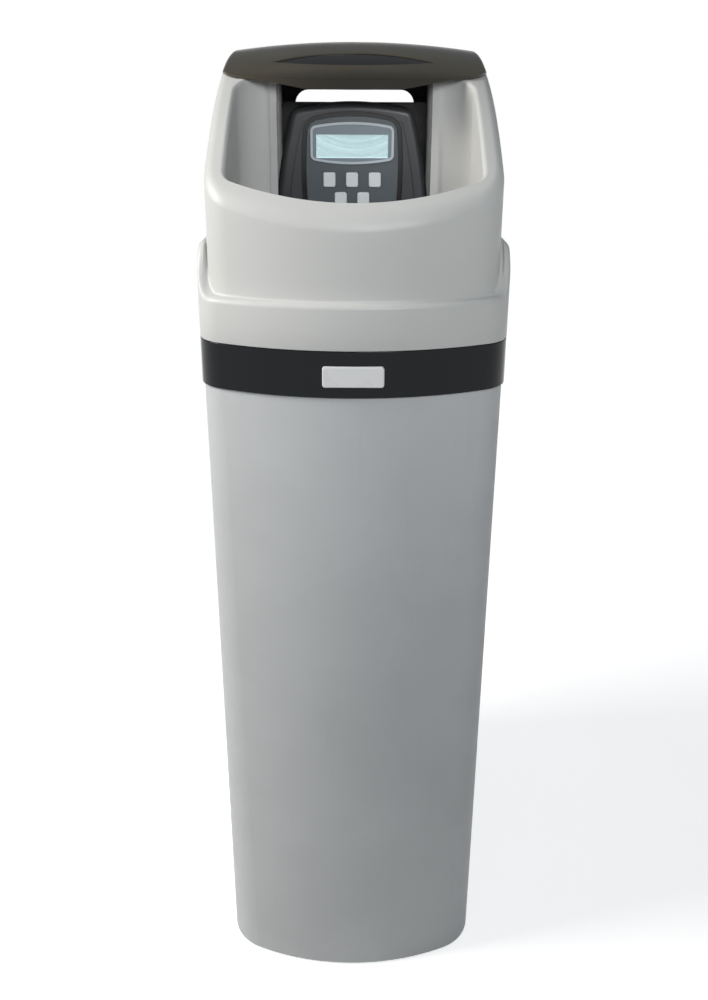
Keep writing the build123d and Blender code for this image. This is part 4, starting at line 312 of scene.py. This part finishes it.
SHELL = (0.520, 0.530, 0.535)
COVER = (0.560, 0.560, 0.545)
BLACK = (0.008, 0.009, 0.011)
materials = {
    "shell_grey": moulded("shell_grey", SHELL, grain=1500.0, scuffs=0.25,
                          Specular_IOR_Level=0.3),
    "cover_grey": moulded("cover_grey", COVER, rough=(0.34, 0.46), grain=1700.0, depth=0.00008,
                          drift=0.02, Specular_IOR_Level=0.35),
    "band_black": lacquered("band_black", BLACK, rough=(0.06, 0.14),
                            Specular_IOR_Level=0.2),
    "badge_white": moulded("badge_white", (0.74, 0.74, 0.74), rough=(0.25, 0.35), grain=2500.0,
                           depth=0.00003, drift=0.02),
    "screw_steel": brushed("screw_steel", (0.55, 0.55, 0.56), (1.0, 1.0, 0.2)),
    "grommet_rubber": moulded("grommet_rubber", (0.02, 0.02, 0.02), (0.6, 0.75), 1200.0),
    "shroud_dark": moulded("shroud_dark", (0.030, 0.027, 0.025), (0.4, 0.55), 1300.0),
    "deck_dark": moulded("deck_dark", (0.022, 0.019, 0.017), (0.3, 0.42), 1300.0),
    # The lid's second colour is its painted shade
    "lid_black": lid_gloss("lid_black", (0.058, 0.049, 0.033), (0.006, 0.005, 0.004)),
    "runner_white": moulded("runner_white", (0.66, 0.66, 0.62), (0.35, 0.45), 1800.0),
    "tank_blue": wound("tank_blue", (0.03, 0.07, 0.16)),
    "boot_black": moulded("boot_black", (0.018, 0.018, 0.018), (0.45, 0.6), 900.0),
    "tube_white": moulded("tube_white", (0.66, 0.66, 0.63), (0.3, 0.4), 2000.0),
    "basket_grey": moulded("basket_grey", (0.12, 0.12, 0.12), (0.4, 0.5), 1600.0),
    "gravel": beads("gravel", [(0.30, 0.25, 0.19), (0.45, 0.42, 0.37), (0.22, 0.20, 0.18),
                               (0.52, 0.47, 0.38)], 0.005, 0.002),
    "resin_amber": beads("resin_amber", [(0.42, 0.17, 0.02), (0.55, 0.28, 0.05),
                                         (0.35, 0.12, 0.015)], 0.0009, 0.0004),
    "grid_grey": moulded("grid_grey", (0.16, 0.165, 0.165), (0.4, 0.55), 1300.0),
    "well_grey": moulded("well_grey", (0.34, 0.35, 0.35), (0.35, 0.5), 1300.0),
    "fitting_black": moulded("fitting_black", (0.016, 0.016, 0.017), (0.35, 0.5), 1500.0),
    "float_white": moulded("float_white", (0.62, 0.62, 0.59), (0.35, 0.5), 1500.0),
    "line_clear": moulded("line_clear", (0.52, 0.56, 0.58), (0.2, 0.3), 900.0,
                          Transmission_Weight=0.25),
    "valve_black": moulded("valve_black", (0.020, 0.020, 0.022), (0.4, 0.6), 1100.0, 0.0002),
    "seal_rubber": moulded("seal_rubber", (0.012, 0.012, 0.012), (0.5, 0.7), 1200.0),
    "piston_grey": moulded("piston_grey", (0.22, 0.22, 0.22), (0.3, 0.4), 1800.0),
    "turbine_white": moulded("turbine_white", (0.66, 0.66, 0.66), (0.3, 0.4), 1800.0),
    "handle_red": moulded("handle_red", (0.33, 0.014, 0.012), (0.35, 0.45), 1500.0),
    "tail_grey": moulded("tail_grey", (0.30, 0.31, 0.32), (0.35, 0.5), 1400.0),
    # The valve case has painted shade in its grooves and hollows
    "case_grey": moulded("case_grey", (0.048, 0.052, 0.056), (0.34, 0.46), 1700.0, 0.0001,
                         painted_shade_reach=0.006),
    # The panel turns near black behind the groove's depth: painted shade in the groove
    "panel_grey": painted_light_by_depth("panel_grey", (0.100, 0.120, 0.130), (0.006, 0.006, 0.007),
                           GROOVE_Y),
    # The bezel is lighter in front of its field's depth: a painted highlight on its silver-grey rim
    "bezel_silver": painted_light_by_depth("bezel_silver", (0.60, 0.66, 0.70), (0.26, 0.30, 0.34),
                             BEZEL_FIELD_Y),
    "lens_clear": clear("lens_clear", (0.80, 0.88, 0.92)),
    # The display glows with painted light
    "lcd_pale": display("lcd_pale", (0.66, 0.80, 0.84)),
    "board_green": board("board_green", (0.01, 0.09, 0.035)),
    "switch_black": moulded("switch_black", (0.02, 0.02, 0.02), (0.3, 0.4), 2600.0),
    "motor_steel": brushed("motor_steel", (0.50, 0.50, 0.50), (1.0, 0.15, 1.0)),
    "gear_white": moulded("gear_white", (0.64, 0.63, 0.58), (0.35, 0.45), 1800.0),
    "key_white": moulded("key_white", (0.88, 0.92, 0.93), (0.3, 0.4), 2600.0, 0.00003, 0.02),
}

for part in frame["record"]["subparts"]:
    piece = nodes[part["node"]]
    piece.data.materials.clear()
    piece.data.materials.append(materials[part["material_slot"]])


# Top cover: a closed shell lofted round its plan, under one crowned surface
AXIS_Y, AXIS_Z, TOP_R, CROWN_R = 0.1505, 0.568, 0.546, 1.090
SKIRT_Z, LEDGE_Z, EAR_Z = 0.821, 0.868, 0.917
BAND = {"half": 0.1635, "front": -0.2525, "back": 0.2525, "bow": 0.299, "corner": 0.044,
        "rear": 0.030}
COVER = {"half": 0.1525, "front": -0.2435, "back": 0.2485, "bow": 0.290, "corner": 0.044,
         "rear": 0.030}
POCKET = {"half": 0.130, "front": -0.222, "back": -0.0245, "bow": 0.2685, "corner": 0.015,
          "rear": 0.033}
SPLIT_Y = -0.0575
STRETCHES = (("bow", 26), ("corner", 14), ("fore", 20), ("aft", 26), ("rear", 9), ("back", 18))
STRETCH = [name for name, count in STRETCHES for _ in range(count)]
SHARE = np.array([step / count for _, count in STRETCHES for step in range(count)] + [1.0])
STRETCH = np.array(STRETCH + ["back"])


def top(xy, radius=TOP_R):
    """Height of the crowned surface of this radius."""
    crown = CROWN_R + radius - TOP_R
    across = radius - crown + np.sqrt(crown ** 2 - xy[:, 0] ** 2)
    return AXIS_Z + np.sqrt(across ** 2 - (xy[:, 1] - AXIS_Y) ** 2)


def half_ring(size, inset, pocket):
    """The right half of a plan, from the middle of the front to the middle of the back."""
    inset = np.broadcast_to(np.asarray(inset, float), SHARE.shape)
    half, front, back = size["half"] - inset, size["front"] + inset, size["back"] - inset
    bow = size["bow"] - inset
    corner = np.maximum(size["corner"] - inset, 0.002)
    rear = np.maximum(size["rear"] - inset, 0.002)
    side = half - corner
    reach = front + bow - np.sqrt((bow - corner) ** 2 - side ** 2)
    slant = np.arcsin(side / (bow - corner))
    xy = np.zeros((len(SHARE), 2))
    for name, _ in STRETCHES:
        at = STRETCH == name
        s = SHARE[at]
        if name == "bow":
            x, y = bow[at] * np.sin(slant[at] * s), front[at] + bow[at] * (
                1 - np.cos(slant[at] * s))
        elif name == "corner":
            a = slant[at] + (math.pi / 2 - slant[at]) * s
            x, y = side[at] + corner[at] * np.sin(a), reach[at] - corner[at] * np.cos(a)
        elif name == "fore":
            end = back[at] - rear[at] if pocket else np.full(s.shape, SPLIT_Y)
            x, y = half[at], reach[at] + (end - reach[at]) * s
        elif name == "aft" and not pocket:
            x, y = half[at], SPLIT_Y + (back[at] - rear[at] - SPLIT_Y) * s
        elif name == "back":
            x, y = (half[at] - rear[at]) * (1 - s), back[at]
        else:
            a = math.pi / 2 * (s / 2 + (0.5 if name == "rear" else 0.0) if pocket else s)
            x, y = half[at] - rear[at] + rear[at] * np.cos(a), back[at] - rear[at] + (
                rear[at] * np.sin(a))
        xy[at, 0], xy[at, 1] = x, y
    return xy


def ring(size, inset=0.0, pocket=False):
    """Points all round a plan; inset is one number or one for each point of a half."""
    right = half_ring(size, inset, pocket)
    left = right[-2:0:-1] * (-1, 1)
    return np.vstack([right, left])


def whole(values):
    """A value for each point of the right half, mirrored to the left."""
    return np.concatenate([values, values[-2:0:-1]])


def smooth(value):
    t = np.clip(value, 0.0, 1.0)
    return t * t * (3 - 2 * t)


def lofted(name, rows, closed, material, body, caps=False):
    """A mesh of quads through rings of points, each row an (xy, z) pair."""
    count = len(rows[0][0])
    verts = np.vstack([np.column_stack([xy, np.broadcast_to(z, (count,))]) for xy, z in rows])
    faces = []
    last = len(rows) if closed else len(rows) - 1
    for r in range(last):
        low, high = r * count, (r + 1) % len(rows) * count
        for i in range(count):
            j = (i + 1) % count
            faces.append((low + i, low + j, high + j, high + i))
    if caps:
        faces.append(tuple(range(count))[::-1])
        faces.append(tuple(range((len(rows) - 1) * count, len(rows) * count)))
    mesh = bpy.data.meshes.new(name)
    mesh.from_pydata(verts.tolist(), [], faces)
    mesh.validate()
    mesh.materials.append(materials[material])
    piece = bpy.data.objects.new(name, mesh)
    bpy.context.scene.collection.objects.link(piece)
    if body:
        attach(piece, body)
    return piece


def cut(piece, cutter):
    """Takes one closed mesh out of another and drops the cutter."""
    change = piece.modifiers.new("cut", "BOOLEAN")
    change.operation = "DIFFERENCE"
    change.solver = "EXACT"
    change.object = cutter
    bpy.context.view_layer.update()
    graph = bpy.context.evaluated_depsgraph_get()
    result = bpy.data.meshes.new_from_object(piece.evaluated_get(graph))
    piece.modifiers.clear()
    result.materials.clear()
    result.materials.append(piece.data.materials[0])
    piece.data = result
    bpy.data.objects.remove(cutter)


def finished(piece, angle=35.0):
    """Smooth shading with sharp edges where the surface turns hard."""
    for face in piece.data.polygons:
        face.use_smooth = True
    piece.data.set_sharp_from_angle(angle=math.radians(angle))
    return piece


def block(low, high):
    """A plain cutter between two corners."""
    (x0, y0, z0), (x1, y1, z1) = low, high
    xy = np.array([(x0, y0), (x1, y0), (x1, y1), (x0, y1)])
    return lofted("cutter", [(xy, z0), (xy, z1)], False, "cover_grey", None, caps=True)


def bar_along_y(outline, y0, y1):
    """A cutter whose section lies in X and Z."""
    bar = lofted("cutter", [(np.array(outline), y0), (np.array(outline), y1)], False,
                 "cover_grey", None, caps=True)
    for v in bar.data.vertices:
        x, z, y = v.co
        v.co = (x, y, z)
    bar.data.flip_normals()
    return bar


# Skirt, shoulder, pocket and wall of the cover
FOOT_EDGE, SKIRT_STRAIGHT, SKIRT_LAP = 0.0012, 0.022, 0.0044
LEDGE_EDGE, LEDGE_COVE, SHOULDER_R = 0.0065, 0.003, 0.0100
EAR_START, EAR_RUN = -0.2075, 0.045
POCKET_RIM, POCKET_FOOT, POCKET_FOLD = 0.0045, 0.850, 0.003
COVER_WALL = 0.0035


def ledge(xy):
    """Height of the skirt's edge, which rises to the ears at both sides."""
    return LEDGE_Z + (EAR_Z - LEDGE_Z) * smooth((xy[:, 1] - EAR_START) / EAR_RUN)


def quarter(count):
    return np.linspace(0.0, math.pi / 2, count)


def cover_rows():
    lip = np.linalg.norm(half_ring(BAND, 0, False) - half_ring(COVER, 0, False), axis=1)
    edge = np.minimum(LEDGE_EDGE, 0.6 * lip)
    cove = np.minimum(LEDGE_COVE, 0.3 * lip)
    shoulder = np.full(lip.shape, SHOULDER_R)
    wall = COVER_WALL
    rim = POCKET_RIM

    rows = [(ring(BAND, FOOT_EDGE), SKIRT_Z),
            (ring(BAND, FOOT_EDGE / 4), SKIRT_Z + FOOT_EDGE / 4),
            (ring(BAND), SKIRT_Z + FOOT_EDGE), (ring(BAND), SKIRT_Z + SKIRT_STRAIGHT)]
    for a in quarter(8):
        xy = ring(BAND, edge * (1 - math.cos(a)))
        rows.append((xy, ledge(ring(BAND)) - whole(edge) * (1 - math.sin(a))))
    for a in quarter(5):
        xy = ring(COVER, -cove * (1 - math.sin(a)))
        rows.append((xy, ledge(ring(BAND)) + whole(cove) * (1 - math.cos(a))))
    foot, head = rows[-1][1], top(ring(COVER, shoulder * 0.3)) - whole(shoulder)
    for s in (0.25, 0.5, 0.75):
        rows.append((ring(COVER), foot + (head - foot) * s))
    for a in quarter(13):
        xy = ring(COVER, shoulder * (1 - math.cos(a)))
        rows.append((xy, top(xy) - whole(shoulder) * (1 - math.sin(a))))

    start, stop = ring(COVER, shoulder), ring(POCKET, -rim, True)
    for s in (0.2, 0.4, 0.6, 0.8, 1.0):
        xy = start + (stop - start) * s
        rows.append((xy, top(xy)))
    for a in quarter(8)[1:]:
        xy = ring(POCKET, -rim * (1 - math.sin(a)), True)
        rows.append((xy, top(ring(POCKET, -rim, True)) - rim * (1 - math.cos(a))))
    deep = ring(POCKET, 0.0, True)
    fold_top = POCKET_FOOT + 0.002
    for s in (0.3, 0.6):
        rows.append((deep, rows[-1][1] * (1 - s) + fold_top * s))
    fold = ring(POCKET, -POCKET_FOLD, True)
    rows += [(deep, fold_top), (ring(POCKET, -0.001, True), POCKET_FOOT), (fold, POCKET_FOOT)]

    under = ring(POCKET, -rim - wall, True)
    rows += [(fold, top(under) - 2 * wall), (under, top(under) - wall)]
    middle = (under + ring(COVER, shoulder)) / 2
    rows.append((middle, top(middle) - wall))
    inner = shoulder - wall
    for a in np.linspace(math.pi / 2, 0.0, 7):
        xy = ring(COVER, wall + inner * (1 - math.cos(a)))
        rows.append((xy, top(xy) - wall - whole(inner) * (1 - math.sin(a))))
    lap = ring(BAND, SKIRT_LAP)
    rows += [(ring(COVER, wall), LEDGE_Z - wall), (lap, LEDGE_Z - wall), (lap, SKIRT_Z)]
    return rows


BAY_HALF, BAY_FLOOR = 0.088, 0.925
WELL_HALF, WELL_FLOOR, WELL_Y = 0.118, 0.930, (0.0375, 0.240)
REAR_HALF, REAR_FOOT, REAR_HEAD, REAR_R = 0.081, 0.815, 1.060, 0.018
REAR_Y = (0.2395, 0.260)
GROMMET_X, GROMMET_Z, GROMMET_R, GROMMET_Y = 0.112, 0.950, 0.0075, (0.238, 0.260)
ABOVE_ALL = 1.2


def rear_opening():
    """The cut-out for the hoses: square at the foot, with two round upper corners."""
    outline = [(-REAR_HALF, REAR_FOOT), (REAR_HALF, REAR_FOOT)]
    x, z = REAR_HALF - REAR_R, REAR_HEAD - REAR_R
    turn = np.linspace(0.0, math.pi / 2, 7)
    outline += [(x + REAR_R * math.cos(a), z + REAR_R * math.sin(a)) for a in turn]
    outline += [(-x - REAR_R * math.sin(a), z + REAR_R * math.cos(a)) for a in turn]
    return outline


cover = lofted("top_cover_shell", cover_rows(), True, "cover_grey", None)
cut(cover, block((-BAY_HALF, -0.0280, BAY_FLOOR), (BAY_HALF, 0.0385, ABOVE_ALL)))
cut(cover, block((-WELL_HALF, WELL_Y[0], WELL_FLOOR), (WELL_HALF, WELL_Y[1], ABOVE_ALL)))
cut(cover, bar_along_y(rear_opening(), *REAR_Y))
cut(cover, bar_along_y([(GROMMET_X + GROMMET_R * math.cos(a), GROMMET_Z + GROMMET_R * math.sin(a))
                        for a in np.linspace(0.0, 2 * math.pi, 25)[:-1]], *GROMMET_Y))
finished(cover)
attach(cover, "cabinet")
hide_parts("top_cover")


# Dark back of the valve cover, between it and the bay's rear opening
PLATE_HALF, PLATE_FOOT, PLATE_HEAD, PLATE_BEVEL = 0.087, 0.930, 1.049, 0.003
PLATE_Y = (0.0485, 0.0505)
plate_outline = [(-PLATE_HALF, PLATE_FOOT), (PLATE_HALF, PLATE_FOOT),
                 (PLATE_HALF, PLATE_HEAD - PLATE_BEVEL), (PLATE_HALF - PLATE_BEVEL, PLATE_HEAD),
                 (PLATE_BEVEL - PLATE_HALF, PLATE_HEAD), (-PLATE_HALF, PLATE_HEAD - PLATE_BEVEL)]
case_back = bar_along_y(plate_outline, *PLATE_Y)
case_back.name = "case_back"
case_back.data.materials.clear()
case_back.data.materials.append(materials["shroud_dark"])
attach(case_back, "cabinet")


# Floor, lights and camera
FLOOR_SIZE = 30.0
NEAR_LIFT, FAR_LIFT = 0.68, 0.88
NEAR_REACH, FAR_REACH = 0.6, 2.6
BACKDROP_RISE, BACKDROP_END = 0.10, 0.22
MIRRORED_RAYS = ("Is Glossy Ray", "Is Transmission Ray")


def floor_material():
    """Pale floor that keeps the object's shadow and reads as white behind it: the lift is
    smaller near the object, where the lamps light the floor."""
    g = Graph("floor_pale")
    tint = g.ramp(g.noise(3.0), [(0.3, (0.80, 0.80, 0.80)), (0.7, (0.83, 0.83, 0.83))])
    g.finish(tint, None, None, Roughness=0.9)
    glow = g.add("ShaderNodeEmission")
    path = g.add("ShaderNodeLightPath")
    seen = path.outputs["Is Camera Ray"]
    for kind in MIRRORED_RAYS:
        seen = g.combine("MAXIMUM", seen, path.outputs[kind])
    away = g.add("ShaderNodeVectorMath", operation="LENGTH")
    g.join(g.place, away.inputs["Vector"])
    lift = g.span(away.outputs["Value"], NEAR_LIFT, FAR_LIFT, NEAR_REACH, FAR_REACH)
    g.join(g.combine("MULTIPLY", seen, lift), glow.inputs["Strength"])
    both = g.add("ShaderNodeAddShader")
    g.join(g.shader.outputs["BSDF"], both.inputs[0])
    g.join(glow.outputs["Emission"], both.inputs[1])
    g.join(both.outputs["Shader"], g.tree.nodes["Material Output"].inputs["Surface"])
    return g.material


sheet = bpy.data.meshes.new("floor")
sheet.from_pydata([(FLOOR_SIZE * x, FLOOR_SIZE * y, 0.0)
                   for x, y in ((-1, -1), (1, -1), (1, 1), (-1, 1))], [], [(0, 1, 2, 3)])
floor = bpy.data.objects.new("floor", sheet)
bpy.context.scene.collection.objects.link(floor)
sheet.materials.append(floor_material())


def area_light(name, place, target, width, power, spread, tint):
    """A square lamp that looks at a target, its beam limited to a spread in degrees."""
    lamp = bpy.data.lights.new(name, "AREA")
    lamp.size = width
    lamp.spread = math.radians(spread)
    lamp.energy = power
    lamp.color = tint
    holder = bpy.data.objects.new(name, lamp)
    bpy.context.scene.collection.objects.link(holder)
    way = np.array(target, float) - np.array(place, float)
    way /= np.linalg.norm(way)
    side = np.cross(way, (0.0, 0.0, 1.0))
    side /= np.linalg.norm(side)
    up = np.cross(side, way)
    turn = Matrix([(side[i], up[i], -way[i]) for i in range(3)]).to_4x4()
    holder.matrix_world = Matrix.Translation(place) @ turn


area_light("key", (-1.9, -0.4, 1.9), (0.0, -0.1, 0.95), 0.9, 24.0, 120.0, (1.0, 0.975, 0.94))
area_light("front", (0.35, -1.8, 1.65), (0.0, -0.1, 0.95), 0.6, 2.5, 70.0, (0.96, 0.98, 1.0))


def studio_world():
    """A dim, even room. The camera sees it white, and gloss and glass see white near the
    horizon, where a backdrop would stand."""
    world = bpy.data.worlds.new("studio")
    world.use_nodes = True
    tree = world.node_tree
    tree.nodes.clear()

    def math_node(operation, first, second):
        node = tree.nodes.new("ShaderNodeMath")
        node.operation = operation
        tree.links.new(first, node.inputs[0])
        tree.links.new(second, node.inputs[1])
        return node.outputs["Value"]

    def background(color, strength):
        node = tree.nodes.new("ShaderNodeBackground")
        node.inputs["Color"].default_value = color
        node.inputs["Strength"].default_value = strength
        return node.outputs["Background"]

    path = tree.nodes.new("ShaderNodeLightPath")
    way = tree.nodes.new("ShaderNodeTexCoord")
    parts = tree.nodes.new("ShaderNodeSeparateXYZ")
    tree.links.new(way.outputs["Generated"], parts.inputs["Vector"])
    backdrop = tree.nodes.new("ShaderNodeMapRange")
    for key, number in (("From Min", BACKDROP_RISE), ("From Max", BACKDROP_END),
                        ("To Min", 1.0), ("To Max", 0.0)):
        backdrop.inputs[key].default_value = number
    tree.links.new(parts.outputs["Z"], backdrop.inputs["Value"])
    mirrored = math_node("MAXIMUM", *(path.outputs[kind] for kind in MIRRORED_RAYS))
    low = math_node("MULTIPLY", mirrored, backdrop.outputs["Result"])
    seen = math_node("MAXIMUM", path.outputs["Is Camera Ray"], low)
    pick = tree.nodes.new("ShaderNodeMixShader")
    out = tree.nodes.new("ShaderNodeOutputWorld")
    tree.links.new(seen, pick.inputs["Fac"])
    tree.links.new(background((0.86, 0.94, 1.0, 1.0), 0.18), pick.inputs[1])
    tree.links.new(background((1.0, 1.0, 1.0, 1.0), 1.0), pick.inputs[2])
    tree.links.new(pick.outputs["Shader"], out.inputs["Surface"])
    return world


bpy.context.scene.world = studio_world()

# The camera stands where the photo's was, so that its outline falls on the photo's
CAMERA_PLACE, CAMERA_DIP, CAMERA_ROLL = (0.00125, -1.269, 1.0804), 0.381, 0.004
camera = bpy.data.objects.new("camera", bpy.data.cameras.new("camera"))
bpy.context.scene.collection.objects.link(camera)
camera.data.lens = 37.3
camera.data.shift_y = -0.0114
camera.data.clip_end = 100.0
camera.matrix_world = (Matrix.Translation(CAMERA_PLACE)
                       @ Matrix.Rotation(math.radians(90.0) - CAMERA_DIP, 4, "X")
                       @ Matrix.Rotation(CAMERA_ROLL, 4, "Z"))
bpy.context.scene.camera = camera

view = bpy.context.scene.view_settings
view.view_transform = "Standard"
